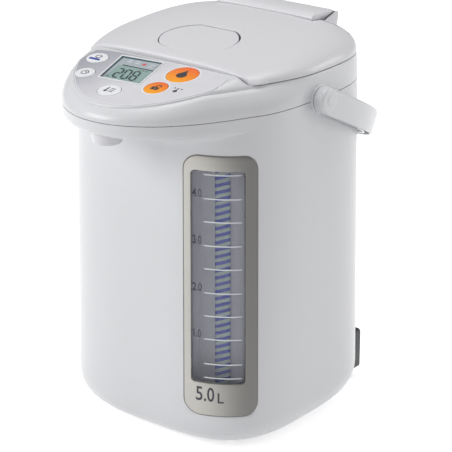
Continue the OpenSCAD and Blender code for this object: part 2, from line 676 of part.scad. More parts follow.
module upper_hose() {
    a = [gauge_pos[0], gauge_pos[1], win_z1 - 1.4];
    color("lightgray") tube_along([a, a + [0, 0, 8], a + [-2, -2, 16], a + [-12, -9, 20], [34, valve_y + 12, valve_z],
        [23, valve_y + 1, valve_z], [18, valve_y, valve_z], [13.6, valve_y, valve_z]], 4);
}
module tip_valve() {
    color("ivory") difference() {
        union() {
            translate([0, valve_y, beak_under_z + wall + fit]) cylinder(r = 9, h = 15);
            translate([13, valve_y, valve_z]) rotate([0, -90, 0]) cylinder(r = 3, h = 8);
            translate([0, valve_y, beak_under_z + wall + 3]) rotate([90, 0, 0]) cylinder(r = 3, h = 14.5);
        }
        translate([0, valve_y, valve_z - 4.2]) cylinder(r = ball_r + run_gap, h = ball_r * 2 + 4.2);
        translate([14, valve_y, valve_z]) rotate([0, -90, 0]) cylinder(r = 1.8, h = 14);
        translate([0, valve_y, beak_under_z + wall + 3]) rotate([90, 0, 0]) cylinder(r = 1.8, h = 20);
    }
}
module valve_ball() {
    color("silver") translate([0, valve_y, valve_z - 4.2 + ball_r]) sphere(r = ball_r);
}
nozzle_y = -141;
nozzle_r = 12.6;
nozzle_bore_r = 4.5;
nozzle_z = 274.6;
module nozzle_hole() {
    translate([0, nozzle_y, 250]) cylinder(r = 8 + fit, h = 42);
}
module nozzle() {
    color("gainsboro") translate([0, nozzle_y, 0]) difference() {
        union() {
            translate([0, 0, nozzle_z]) cylinder(r1 = nozzle_r - 0.8, r2 = nozzle_r, h = 7);
            translate([0, 0, nozzle_z + 2]) cylinder(r = 8, h = 20);
        }
        translate([0, 0, nozzle_z - 1]) cylinder(r = nozzle_bore_r, h = 20);
        translate([0, 0, beak_under_z + wall + 3]) rotate([-90, 0, 0]) cylinder(r = 3 + fit, h = 20);
        translate([0, 0, nozzle_z - 1]) cylinder(r = 9.5, h = 4);
    }
}

// ---------- Gauge window ----------

// Closed loop round the wall between two angles and two heights, with rounded corners, at a depth
mm_per_degree = 1.45;
function wall_loop(a0, a1, z0, z1, r, depth) = let (ra = r / mm_per_degree)
    concat(
        [for (t = [0:18:90]) wall_point(a0 - ra + ra * sin(t), z0 + r - r * cos(t), depth)],
        [for (t = [0:18:90]) wall_point(a0 - ra + ra * cos(t), z1 - r + r * sin(t), depth)],
        [for (i = [1:7]) wall_point(lerp(a0 - ra, a1 + ra, i / 8), z1, depth)],
        [for (t = [0:18:90]) wall_point(a1 + ra - ra * sin(t), z1 - r + r * cos(t), depth)],
        [for (t = [0:18:90]) wall_point(a1 + ra - ra * cos(t), z0 + r - r * sin(t), depth)],
        [for (i = [1:7]) wall_point(lerp(a1 + ra, a0 - ra, i / 8), z0, depth)]);
function window_loop(depth, grow) = wall_loop(win_a0 + grow / mm_per_degree, win_a1 - grow / mm_per_degree,
    win_z0 - grow, win_z1 + grow, win_corner_r, depth);
// Edge of the glass inside the frame
function glass_loop(depth) = wall_loop(win_a0 - frame_left / mm_per_degree, win_a1 + frame_right / mm_per_degree,
    win_z0 + frame_foot, win_z1 - frame_head, 3, depth);
module window_block(depth, front, grow_mm) {
    capped_loft([window_loop(front, grow_mm), window_loop((depth + front) / 2, grow_mm), window_loop(depth, grow_mm)]);
}
// Curved panel that follows the wall between two angles and two heights
module wall_panel(a0, a1, z0, z1, depth0, depth1) {
    steps = 12;
    capped_loft([for (i = [0:steps]) let (a = lerp(a0, a1, i / steps))
        [wall_point(a, z0, depth0), wall_point(a, z0, depth1), wall_point(a, z1, depth1), wall_point(a, z1, depth0)]]);
}
module window_frame() {
    color("silver") looped_loft([window_loop(2.8, 0), glass_loop(2.8), glass_loop(-0.8), window_loop(-0.8, 0)]);
}
module window_lens() {
    color("lightgray") wall_panel(win_a0 - 1, win_a1 + 1, win_z0 + 3, win_z1 - 3, 3.1, 4.6);
}
module gauge_backplate() {
    color("gray") wall_panel(win_a0 - 1, win_a1 + 1, win_z0 + 11, win_z1 - 3,
        gauge_depth + gauge_r + 2.4, gauge_depth + gauge_r + 3.6);
}

// ---------- Handle ----------

ear_proud = 0.25;
function handle_point(a) = [(pivot_x - arm_t / 2) * bend(cos(a), 3), handle_len * bend(sin(a), 3), 0];
module handle() {
    path = [for (a = [0:6:180]) handle_point(a)];
    n = len(path);
    h = arm_h / 2;
    t = arm_t / 2;
    section = [[-t, -h], [-t, h - 2], [-t + 2, h], [t - 2.5, h], [t, h - 2.5], [t, -h + 1], [t - 1, -h],
        [t - 2.4, -h], [t - 2.4, h - 6], [-t + 2.2, h - 6], [-t + 2.2, -h]];
    color("white") translate([0, 0, pivot_z]) rotate([-handle_drop, 0, 0]) difference() {
        union() {
            flat_loft([for (i = [0:n - 1]) let (d = path[min(i + 1, n - 1)] - path[max(i - 1, 0)],
                out = [d[1], -d[0], 0] / norm(d)) [for (q = section) path[i] + q[0] * out + [0, 0, q[1]]]]);
            for (side = [-1, 1]) translate([side > 0 ? arm_in - ear_proud : -pivot_x - ear_proud, 0, 0])
                rotate([0, 90, 0]) cylinder(r = h + ear_proud, h = arm_t + 2 * ear_proud);
        }
        translate([-150, 0, 0]) rotate([0, 90, 0]) cylinder(r = pivot_r + run_gap, h = 300);
    }
}
module pivot_stem_holes() {
    translate([-150, 0, pivot_z]) rotate([0, 90, 0]) cylinder(r = 5 + fit, h = 300);
}
module handle_pivots() {
    color("white") for (side = [0, 180]) rotate([0, 0, side]) translate([0, 0, pivot_z]) rotate([0, 90, 0]) {
        translate([0, 0, half_w - 6]) cylinder(r = 5, h = 7);
        translate([0, 0, half_w + 0.5]) cylinder(r = 12, h = arm_in - half_w - 1.1);
        translate([0, 0, half_w]) cylinder(r = pivot_r, h = pivot_x - half_w + 0.6);
    }
}

// ---------- Power and base ----------

inlet_x = 60;
module inlet_cutout() {
    translate([inlet_x - 16 - fit, half_d - 20, 8]) cube([32 + 2 * fit, 60, 40]);
}
module power_inlet() {
    color("black") difference() {
        translate([inlet_x - 16, half_d - 19, 8 + fit]) cube([32, 29, 38]);
        translate([inlet_x - 12, half_d + 2, 18]) cube([24, 20, 20]);
    }
}
module inlet_pins() {
    color("goldenrod") for (dx = [-6, 6]) translate([inlet_x + dx, half_d + 7.5, 28]) rotate([90, 0, 0]) cylinder(r = 1.5, h = 5.45);
}
module power_board() {
    color("darkgreen") translate([-74, -36, plate_top_z + fit]) difference() {
        cube([54, 72, 1.6]);
        for (at = [[5, 5], [49, 67], [5, 67], [49, 5]]) translate([at[0], at[1], -1]) cylinder(r = 1.6, h = 4);
    }
}
module swivel_base() {
    color("gray") union() {
        translate([0, 0, foot_h]) cylinder(r = swivel_r, h = swivel_t, $fn = 96);
        cylinder(r = spindle_r, h = plate_z + 9.6);
    }
}
module swivel_clip() {
    color("silver") translate([0, 0, plate_z + 9.3]) difference() {
        cylinder(r = spindle_r + 4, h = 1);
        translate([0, 0, -1]) cylinder(r = spindle_r + 0.02, h = 4);
    }
}
module rubber_feet() {
    color("dimgray") for (a = [45:90:315]) rotate([0, 0, a]) translate([swivel_r - 10, 0, 0]) cylinder(r = 7, h = foot_h);
}
screw_r = 1.5;
module at_screws() {
    for (a = [45:90:315]) rotate([0, 0, a]) translate([reach(45, side_w(0) - bottom_r + 2.6, side_d(0) - bottom_r + 2.6,
        squareness), 0, 0]) children();
}
module case_screws() {
    color("silver") at_screws() {
        translate([0, 0, case_z - 1.5]) cylinder(r = 3, h = 1.4);
        translate([0, 0, case_z - 0.2]) cylinder(r = screw_r, h = plate_top_z - case_z);
    }
}

outer_case();
spout_base();
upper_housing();
base_plate();
rear_cover();
control_panel();
panel_lens();
display_module();
control_board();
dispense_key();
unlock_key();
reboil_key();
timer_key();
temp_key();
lid_cover();
hinge_cover();
lid_base();
lid_liner();
lid_gasket();
lid_lever();
lever_pin();
lever_spring();
lid_latch();
steam_valve();
hinge_pin();
mouth_collar();
inner_container();
band_heater();
base_heater();
thermostat();
pump_motor();
motor_magnet();
pump_case();
impeller();
inlet_seal();
lower_hose();
gauge_tube();
upper_hose();
tip_valve();
valve_ball();
nozzle();
window_frame();
window_lens();
gauge_backplate();
handle();
handle_pivots();
power_inlet();
inlet_pins();
power_board();
swivel_base();
swivel_clip();
rubber_feet();
case_screws();
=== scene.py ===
"""Electric thermo pot: smooth outer pieces, finishes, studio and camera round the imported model.

Lengths in the shape functions are millimetres in the part's own frame: +Z up, the spout towards -Y.
"""
import json
import math

import bmesh
import bpy
import numpy as np
from bpy.props import FloatProperty, FloatVectorProperty, PointerProperty
from mathutils import Matrix, Vector
from mathutils.geometry import delaunay_2d_cdt


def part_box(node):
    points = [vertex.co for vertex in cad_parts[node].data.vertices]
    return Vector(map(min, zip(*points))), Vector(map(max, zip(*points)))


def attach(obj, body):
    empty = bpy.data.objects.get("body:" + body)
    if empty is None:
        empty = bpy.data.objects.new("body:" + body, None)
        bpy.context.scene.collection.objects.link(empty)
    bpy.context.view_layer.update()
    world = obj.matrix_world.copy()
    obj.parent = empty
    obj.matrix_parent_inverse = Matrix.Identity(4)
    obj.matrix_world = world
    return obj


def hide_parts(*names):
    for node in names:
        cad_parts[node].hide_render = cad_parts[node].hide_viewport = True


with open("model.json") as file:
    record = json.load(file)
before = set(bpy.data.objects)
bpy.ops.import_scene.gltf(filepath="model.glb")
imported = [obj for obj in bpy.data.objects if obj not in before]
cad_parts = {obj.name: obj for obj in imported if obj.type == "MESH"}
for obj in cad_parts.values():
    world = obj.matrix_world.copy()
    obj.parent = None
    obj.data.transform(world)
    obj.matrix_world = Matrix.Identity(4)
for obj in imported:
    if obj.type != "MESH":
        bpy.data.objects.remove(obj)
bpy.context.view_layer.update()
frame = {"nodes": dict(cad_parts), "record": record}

bl_info = {
    "name": "Electric thermo pot",
    "version": (1, 0, 0),
    "blender": (4, 5, 0),
    "location": "View3D > Sidebar > Thermo pot",
    "description": "Dresses the thermo pot's frame with smooth shells, prints, finishes and a studio",
    "category": "Object",
}

MM = 0.001

# Sizes shared with the solid model
HALF_W, HALF_D, FLARE, SQUARE = 105.0, 102.5, 4.0, 3.2
CASE_Z, BOTTOM_R, CASE_WALL = 3.0, 31.0, 2.6
SEAM_LOW, SEAM_HIGH = 295.85, 296.15
BEAK_REACH, BEAK_START, BEAK_UNDER, LIP_R = 159.0, 258.0, 283.6, 7.0
LEDGE_Z, SHOULDER_W, SHOULDER_H, POCKET_Z, STEP_Y = 317.6, 12.0, 6.6, 306.0, 60.0
DECK_LIFT, COLLAR_R, MOUTH_Y = 0.75, 68.3, 4.0
LID_FLOOR, DOME_RISE, DOME_TILT, LID_GAP = 318.4, 19.0, 0.105, 0.9
LID_FRONT, LID_REAR, SIDE_END = -66.0, 77.0, -50.0
HINGE_Y, HINGE_Z, BARREL_R, BARREL_HALF, PIN_R = 78.5, 338.0, 16.0, 52.0, 2.5
TROUGH_OUT, TROUGH_IN, TROUGH_LIP, TROUGH_HALF, LUG_R = 18.2, 16.6, 3.6, 54.7, 4.4
LEVER_AXIS, LEVER_Y, LEVER_R, LEVER_DEPTH, LEVER_FRONT_R, LEVER_FRONT_Y = (-3.0, 333.2), -25.0, 35.0, 0.86, 62.0, 35.0
POST_X, POST_HALF, POST_FRONT, POST_TOP = 16.0, 4.4, -9.0, 335.95
FRONT_LEAN = (-65.6, 326.0, 0.1495)
LUG_SPAN = (48.5, 51.0)
PANEL_Y, PANEL_Z, PANEL_SLOPE, PANEL_TOP = -100.0, 317.4, 0.2, 1.22
KEY_TOP, SCREEN_FLOOR, SLOW_MARK = 1.6, 0.45, (43.5, -6.5)
NOZZLE_Y, NOZZLE_Z = -141.0, 274.6
PIVOT_Z, HANDLE_X, HANDLE_LEN, HANDLE_DROP, HANDLE_POWER, ARM_H, ARM_T = 296.0, 111.8, 146.0, 25.5, 2.7, 22.0, 8.4
KEYS = {
    "dispense": (30.6, 17.0, 13.6, 13.4), "unlock": (25.4, -10.4, 9.8, 10.0), "reboil": (-57.4, 13.8, 9.8, 8.6),
    "timer": (-48.4, -12.0, 8.6, 8.2), "temperature": (-7.5, -29.3, 10.2, 8.8),
}
SCREEN = [(9.4, -11.4), (2.2, 29.6), (-41.6, 26.9), (-33.4, -14.2)]
CELL = [(7.3, -9.6), (3.4, 14.0), (-33.0, 11.9), (-28.6, -12.2)]

# Gauge window: first and last angle on the wall in degrees, lowest and highest height
MM_PER_DEGREE = 1.45
WINDOW, GLASS = (75.0, 32.0, 38.0, 264.0), (71.55, 39.59, 67.0, 251.5)
LENS, TRAY = (74.0, 33.0, 41.0, 261.0), (74.0, 33.0, 49.0, 261.0)
# Outer and inner faces as heights above the wall
FRAME_FACES, LENS_FACES, MARK_FACES, TRAY_FACES = (0.8, -2.8), (-3.1, -4.6), (-2.98, -3.12), (-22.4, -23.6)
CASE_OPENING, MARK_SPAN = (34.76, 72.24, 41.9, 260.1), (40.98, 65.54)
RIBBON, RIBBON_DEPTH, BAND_PITCH = (62.2, 48.4, 50.0, 260.0), 20.6, 6.15
GAUGE_MARKS = (247.3, 227.0, 207.3, 186.8, 166.7, 145.8, 125.5, 104.9, 82.8, 70.4)
GAUGE_NUMBERS = (("4.0", 227.0), ("3.0", 186.8), ("2.0", 145.8), ("1.0", 104.9))
NUMBER_ANGLE, FIGURE_ANGLE = 69.05, 61.4

FLIP = np.array([-1, 1])
FRONT_STOPS = (58, 46, 34, 23, 12, 0, -12, -23, -34, -46, -58)


# ---------------------------------------------------------------- plan shapes

def pts(*axes):
    """Points from one array or number per axis."""
    return np.stack(np.broadcast_arrays(*axes), -1).astype(float)


def around(n):
    return np.linspace(0, 2 * math.pi, n, endpoint=False)


def arc(cx, cy, r, t):
    return pts(cx + r * np.cos(t), cy + r * np.sin(t))


def unit(v):
    return v / (np.linalg.norm(v, axis=1)[:, None] + 1e-12)


def curve(start, corner, end, n):
    """n points, or rings of points, from start to end, both aimed at the corner: (1-u)^2, 2u(1-u), u^2."""
    u = np.linspace(0, 1, n).reshape((n,) + (1,) * np.ndim(start))
    return start * (1 - u) ** 2 + corner * 2 * u * (1 - u) + end * u * u


def reach(a, w, d, p):
    """Distance from the axis to a superellipse in direction a: (|cos a| / w)^p + (|sin a| / d)^p, to the power -1/p."""
    return ((np.abs(np.cos(a)) / w) ** p + (np.abs(np.sin(a)) / d) ** p) ** (-1 / p)


def soft(v):
    """Zero below zero and v squared over (v + 4) above, which starts without a crease."""
    v = np.maximum(v, 0)
    return v * v / (v + 4)


def ramp(v, low, high):
    """Smooth step from 0 at low to 1 at high: 3 u^2 - 2 u^3."""
    u = np.clip((v - low) / (high - low), 0, 1)
    return u * u * (3 - 2 * u)


def flared(half, z):
    """Half size of the body at height z: it widens by FLARE from z = 300 down to the floor."""
    return half + FLARE * (1 - z / 300)


def outline(a, w, d, front, share, z):
    """Ring round the pot: the squarish body plus a share of what a beak with the given reach adds in front."""
    body = reach(a, w, d, SQUARE)
    beak = np.where(np.sin(a) < 0, reach(a, w, front + 3.7, 2), 0)
    r = body + share * soft(beak - body)
    return pts(r * np.cos(a), r * np.sin(a), z)


def seam_ring(a, inset, z):
    return outline(a, HALF_W - inset, HALF_D - inset, BEAK_REACH - inset, 1, z)


def pinch(y):
    """How the sides of the lid and the housing's rim draw in towards the front."""
    return 1 - 0.11 * ramp(-y, 0, 75)


def bend(v, p):
    return np.sign(v) * np.abs(v) ** (2 / p)


def wall_point(a, z, depth):
    """Point on the body's front-right wall: superellipse angle a in degrees, height z and depth square to the wall."""
    a = np.radians(a)
    w, d = flared(HALF_W, z), flared(HALF_D, z)
    x, y = w * bend(np.cos(a), SQUARE), d * bend(np.sin(a), SQUARE)
    nx, ny = (np.abs(x) / w) ** (SQUARE - 1) / w, (np.abs(y) / d) ** (SQUARE - 1) / d
    n = np.hypot(nx, ny)
    return pts(x - depth * nx / n, -(y - depth * ny / n), z)


def on_wall(points):
    """Carries (millimetres along the wall, height, height above the wall) onto the curved wall."""
    return wall_point(points[:, 0] / MM_PER_DEGREE, points[:, 1], -points[:, 2])


def on_panel(points):
    """Carries (x, y, height) of the sloping panel's plane into the pot's frame."""
    k = math.hypot(1, PANEL_SLOPE)
    x, y, z = points.T
    return pts(x, PANEL_Y + (y - z * PANEL_SLOPE) / k, PANEL_Z + (y * PANEL_SLOPE + z) / k)


def panel_to_plan(loop):
    return on_panel(lifted(loop, 0))[:, :2]


def dome(p, drop=0.0):
    """Height of the lid's dome over plan points: rise times (1 - s^2.9)^(1/2.33), where s is 0 in the middle and
    1 on the outline, and the rise grows towards the hinge."""
    x, y = p[..., 0] / pinch(p[..., 1]), p[..., 1]
    s = ((np.abs(x) / (HALF_W - 1)) ** SQUARE + (np.abs(y) / (HALF_D - 1)) ** SQUARE) ** (1 / SQUARE)
    return LID_FLOOR - drop + (DOME_RISE + DOME_TILT * y) * (1 - np.minimum(s, 0.9985) ** 2.9) ** (1 / 2.33)


def side_x(y, inset):
    """Half width of the lid at y, moved in by inset, and 0 past its end."""
    rest = 1 - (np.abs(y) / (HALF_D - LID_GAP - inset)) ** SQUARE
    return pinch(y) * (HALF_W - LID_GAP - inset) * np.maximum(rest, 0) ** (1 / SQUARE)


def front_corner(inset, n):
    """Curve of the lid's front corner: a parabola arc between the side and the straight front edge."""
    return curve(np.array([side_x(SIDE_END, inset), SIDE_END]), np.array([88.0 - inset, -72.0 + inset]),
                 np.array([70.0, LID_FRONT + inset]), n)


def pocket_loop(inset):
    """Lid pocket's outline, anticlockwise seen from above, starting at the rear right."""
    y = np.linspace(LID_REAR - inset, SIDE_END, 56)
    right = np.concatenate([pts(side_x(y, inset), y), front_corner(inset, 26)[1:]])
    rear = pts(np.linspace(-right[0, 0], right[0, 0], 44)[1:-1], LID_REAR - inset)
    return np.concatenate([right, pts(FRONT_STOPS, LID_FRONT + inset), (right * FLIP)[::-1], rear])[::-1].copy()


def turned_in(loop, amount):
    """The loop moved towards its inside, square to itself, with corners mitred."""
    ahead = unit(np.roll(loop, -1, 0) - loop)
    t = unit(unit(loop - np.roll(loop, 1, 0)) + ahead)
    mitre = 1 / np.clip((t * ahead).sum(1), 0.6, 1)
    return loop + pts(-t[:, 1], t[:, 0]) * (mitre * amount)[:, None]


def evenly(line, n):
    """n points at even steps along an open line."""
    run = np.concatenate([[0], np.cumsum(np.linalg.norm(np.diff(line, axis=0), axis=1))])
    at = np.linspace(0, run[-1], n)
    return np.stack([np.interp(at, run, line[:, k]) for k in range(line.shape[1])], -1)


def resampled(loop, pitch):
    """The closed loop again, with even steps along its length."""
    ring = np.concatenate([loop, loop[:1]])
    length = np.linalg.norm(np.diff(ring, axis=0), axis=1).sum()
    return evenly(ring, max(int(round(length / pitch)), 8) + 1)[:-1]


def softened(loop, radius, pitch):
    """The loop with its corners eased by a running mean over about the given radius."""
    ring = resampled(loop, pitch)
    half = max(int(round(radius / pitch)), 1)
    kernel = np.hanning(2 * half + 3)[1:-1]
    index = (np.arange(len(ring))[:, None] + np.arange(-half, half + 1)) % len(ring)
    return (ring[index] * (kernel / kernel.sum())[None, :, None]).sum(1)


def eased(points, radii, steps=4):
    """Polygon or open line with each corner replaced by a curve; a radius of 0 keeps the corner."""
    points, out = np.asarray(points, float), []
    for i, (p, r) in enumerate(zip(points, radii)):
        if r <= 0:
            out.append(p)
            continue
        sides = points[i - 1] - p, points[(i + 1) % len(points)] - p
        a, b = (p + s / np.linalg.norm(s) * min(r, np.linalg.norm(s) * 0.49) for s in sides)
        out.extend(curve(a, p, b, steps + 1))
    return np.array(out)


def ellipse(cx, cy, rx, ry, n=64):
    return pts(cx + rx * np.cos(around(n)), cy + ry * np.sin(around(n)))


def corner_box(x0, y0, x1, y1, r, n=6):
    """Rectangle with rounded corners, anticlockwise."""
    t = np.linspace(0, math.pi / 2, n)
    corners = (x1 - r, y1 - r), (x0 + r, y1 - r), (x0 + r, y0 + r), (x1 - r, y0 + r)
    return np.concatenate([arc(cx, cy, r, t + k * math.pi / 2) for k, (cx, cy) in enumerate(corners)])


def bar(x0, y0, x1, y1, w, n=5):
    """A stroke from one point to another with round ends."""
    t = np.linspace(-math.pi / 2, math.pi / 2, n) + math.atan2(y1 - y0, x1 - x0)
    return np.concatenate([arc(x1, y1, w / 2, t), arc(x0, y0, -w / 2, t)])


def arc_band(cx, cy, r, w, start, end, n=30):
    t = np.radians(np.linspace(start, end, n))
    return np.concatenate([arc(cx, cy, r + w / 2, t), arc(cx, cy, r - w / 2, t)[::-1]])


def drop_shape(cx, cy, r):
    """A water drop: a circle whose top is drawn up to a point."""
    t = around(48)
    up = np.maximum(np.sin(t), 0)
    return pts(cx + r * np.cos(t) * (1 - 0.75 * up ** 2.2), cy + r * np.sin(t) * (1 + 0.95 * up ** 3))


def digit(cx, cy, h, lit):
    """Seven-segment figure that leans to the right: its lit bars."""
    x, y, t = h * 0.185, h / 2, h * 0.078
    spots = {"a": (-x + t, y, x - t, y), "g": (-x + t, 0, x - t, 0), "d": (-x + t, -y, x - t, -y),
             "f": (-x, t, -x, y - t), "b": (x, t, x, y - t), "e": (-x, t - y, -x, -t), "c": (x, t - y, x, -t)}
    loops = [bar(*spots[key], h * 0.12, 3) for key in lit]
    return [loop - pts(loop[:, 1] * 0.26, 0) + [cx, cy] for loop in loops]


def inside(loop, points):
    """Even-odd rule: a point is inside where a ray along +X crosses the loop an odd number of times."""
    a, b = loop, np.roll(loop, -1, 0)
    x, y = points[:, None, 0], points[:, None, 1]
    rise = np.where(b[:, 1] == a[:, 1], 1e-30, b[:, 1] - a[:, 1])
    hit = ((a[:, 1] > y) != (b[:, 1] > y)) & (x < (b[:, 0] - a[:, 0]) * (y - a[:, 1]) / rise + a[:, 0])
    return hit.sum(1) % 2 == 1


def clearance(loop, points):
    """Shortest distance from each point to the loop's sides."""
    run = np.roll(loop, -1, 0) - loop
    rel = points[:, None] - loop
    t = np.clip((rel * run).sum(-1) / np.maximum((run * run).sum(-1), 1e-12), 0, 1)
    return np.linalg.norm(rel - t[..., None] * run, axis=-1).min(1)


def lattice(low, high, pitch):
    """Points on a plan area in rows half a step apart, like the cells of a comb."""
    g = np.stack(np.meshgrid(np.arange(low[0], high[0], pitch), np.arange(low[1], high[1], pitch * 0.866)), -1)
    g[1::2, :, 0] += pitch / 2
    return g.reshape(-1, 2)


def trimmed(outer, holes, pitch, extra=None):
    """Triangles of the area inside the outer loop and outside the holes, over a comb of points."""
    if extra is None:
        extra = lattice(outer.min(0), outer.max(0), pitch)
    loops, edges, start = [outer, *holes], [], 0

    def kept(points):
        return inside(outer, points) & ~np.any([inside(h, points) for h in holes] or [[False]], axis=0)
    extra = extra[kept(extra)]
    for loop in loops:
        extra = extra[clearance(loop, extra) > 0.45 * pitch]
        edges += [(start + i, start + (i + 1) % len(loop)) for i in range(len(loop))]
        start += len(loop)
    points = np.concatenate(loops + [extra])
    made = delaunay_2d_cdt([Vector(p) for p in points.tolist()], edges, [], 0, 1e-6)
    plan = np.array([tuple(v) for v in made[0]])
    tri = np.array([f for f in made[2] if len(f) == 3])
    return plan, tri[kept(plan[tri].mean(1))]


# ---------------------------------------------------------------- meshes

class Skin:
    """Patches of points and faces that together make one piece."""

    def __init__(self):
        self.points, self.faces, self.count = [], [], 0

    def add(self, points, faces):
        self.points.append(np.asarray(points, float).reshape(-1, 3))
        self.faces.append(np.asarray(faces) + self.count)
        self.count += len(self.points[-1])

    def grid(self, rows, around=False, back=False, keep=None):
        """Quads over rows of points; around closes each row, back joins the last row to the first."""
        rows = np.asarray(rows)
        m, n = rows.shape[:2]
        i = np.arange(m * n).reshape(m, n)
        if around:
            i = np.concatenate([i, i[:, :1]], 1)
        if back:
            i = np.concatenate([i, i[:1]], 0)
        quads = np.stack([i[:-1, :-1], i[:-1, 1:], i[1:, 1:], i[1:, :-1]], -1)
        self.add(rows, (quads[keep] if keep is not None else quads).reshape(-1, 4))

    def cap(self, ring, middle=None, closed=True):
        """Closes a ring, or an open line of points, with a fan about its middle or the given point."""
        n = len(ring)
        k = np.arange(n if closed else n - 1)
        middle = ring.mean(0) if middle is None else middle
        self.add(np.concatenate([ring, [middle]]), np.stack([k, (k + 1) % n, np.full(len(k), n)], -1))

    def bar_x(self, section, xs, caps=True):
        """A section of (y, z) points about the hinge, drawn out along X."""
        rows = [pts(x, HINGE_Y + section[:, 0], HINGE_Z + section[:, 1]) for x in xs]
        self.grid(rows, around=True)
        for ring in (rows[0], rows[-1]) if caps else ():
            self.cap(ring)


def lifted(plan, height):
    """Plan points with their height, given as a number, an array or a function of the plan."""
    z = height(plan) if callable(height) else height
    return np.concatenate([plan, (z + np.zeros(len(plan)))[:, None]], 1)


def slab(skin, outer, top, bottom, edge=0.0, holes=(), place=None, pitch=4.0, steps=3):
    """Closed plate over a plan area. Its top and bottom are heights over the plan, and its upper edges are rounded."""
    place = place or (lambda p: p)
    inner, wider = turned_in(outer, edge), [turned_in(h, -edge) for h in holes]
    plan, tri = trimmed(inner, wider, pitch)
    skin.add(place(lifted(plan, top)), tri)
    plan, tri = trimmed(outer, holes, pitch * 1.7)
    skin.add(place(lifted(plan, bottom)), tri[:, ::-1])
    for loop, start in [(outer, inner), *zip(holes, wider)]:
        high, low = lifted(loop, top), lifted(loop, bottom)
        rows = [low, high]
        if edge:
            foot = lifted(loop, high[:, 2] - np.minimum(edge, 0.7 * (high - low)[:, 2]))
            rows = [low, *curve(foot, high, lifted(start, top), steps + 1)]
        skin.grid([place(r) for r in rows], around=True)


def revolve(skin, profile, turns, centre, along_x=False):
    """Turns a profile of (radius, height) points about a vertical axis, or about one along X."""
    t = around(turns)
    r, h = (v[:, None] for v in np.asarray(profile, float).T)
    across, up = centre[0] + r * np.cos(t), centre[1] + r * np.sin(t)
    skin.grid(pts(h, across, up) if along_x else pts(across, up, h), around=True)


def placed(name, data):
    piece = bpy.data.objects.new(name, data)
    bpy.context.scene.collection.objects.link(piece)
    return piece


def make_piece(name, skin, body, slot, look=None, replaces=(), within=None, wall=None):
    """Turns the patches into one object with its normals outwards, gives it a wall, its finish and its body."""
    faces = [tuple(f) for block in skin.faces for f in block.tolist()]
    mesh = bpy.data.meshes.new(name)
    mesh.from_pydata((np.concatenate(skin.points) * MM).tolist(), [], faces)
    work = bmesh.new()
    work.from_mesh(mesh)
    bmesh.ops.remove_doubles(work, verts=work.verts, dist=6e-6)
    bmesh.ops.dissolve_degenerate(work, edges=work.edges, dist=1e-7)
    bmesh.ops.recalc_face_normals(work, faces=work.faces)
    if within is None:
        outward = work.calc_volume(signed=True)
    else:
        middle = Vector(within) * MM
        outward = sum(f.calc_area() * f.normal.dot(f.calc_center_median() - middle) for f in work.faces)
    if outward < 0:
        bmesh.ops.reverse_faces(work, faces=work.faces)
    for edge in work.edges:
        if edge.is_boundary:
            edge.smooth = False
    work.to_mesh(mesh)
    work.free()
    mesh.shade_smooth()
    mesh.set_sharp_from_angle(angle=math.radians(30))
    piece = placed(name, mesh)
    if wall:
        shell = piece.modifiers.new("wall", "SOLIDIFY")
        shell.thickness = wall * MM
        shell.offset = -1
        shell.use_even_offset = True
    mesh.materials.append(finish(look or slot))
    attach(piece, body)
    if replaces:
        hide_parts(*replaces)
    return piece


def plate(name, slot, look, replaces, *shape, body="pot", **more):
    """One piece made of one slab."""
    skin = Skin()
    slab(skin, *shape, **more)
    return make_piece(name, skin, body, slot, look, replaces)


def flat_print(name, shapes, look, slot, level, height=None, body="pot", at=(0, 0)):
    """Thin printed shapes on the panel: loops, or (outer loop, holes), moved by at."""
    skin = Skin()
    for shape in shapes:
        outer, holes = shape if isinstance(shape, tuple) else (shape, ())
        slab(skin, outer + at, level + (height or edge_size("print_height")), level - 0.02, 0.0,
             [h + at for h in holes], on_panel, 5.0)
    return make_piece(name, skin, body, slot, look)


def add_lettering(skin, text, height, angle, at, width):
    """A short number as a thin solid on the wall at the given angle, moved from there by at. Letters run towards
    smaller angles, so their x is turned round."""
    data = bpy.data.curves.new("figure", "FONT")
    data.body = text
    data.extrude = 0.02
    data.resolution_u = 3
    data.offset = 0.012
    holder = placed("figure", data)
    solid = holder.evaluated_get(bpy.context.evaluated_depsgraph_get())
    made = solid.to_mesh()
    points = np.empty(len(made.vertices) * 3)
    made.vertices.foreach_get("co", points)
    points = points.reshape(-1, 3)
    faces = [tuple(p.vertices) for p in made.polygons]
    solid.to_mesh_clear()
    bpy.data.objects.remove(holder)
    bpy.data.curves.remove(data)
    low, high = points.min(0)[:2], points.max(0)[:2]
    points[:, :2] = (points[:, :2] - (low + high) / 2) * height / (high[1] - low[1]) * [width, 1]
    points[:, 2] = np.where(points[:, 2] > 0, 0.05, -0.05)
    start = skin.count
    skin.points.append(on_wall((points + at) * [-1, 1, 1] + [angle * MM_PER_DEGREE, 0, 0]))
    skin.count += len(points)
    for size in sorted({len(f) for f in faces}):
        skin.faces.append(np.array([f for f in faces if len(f) == size]) + start)


# ---------------------------------------------------------------- finishes

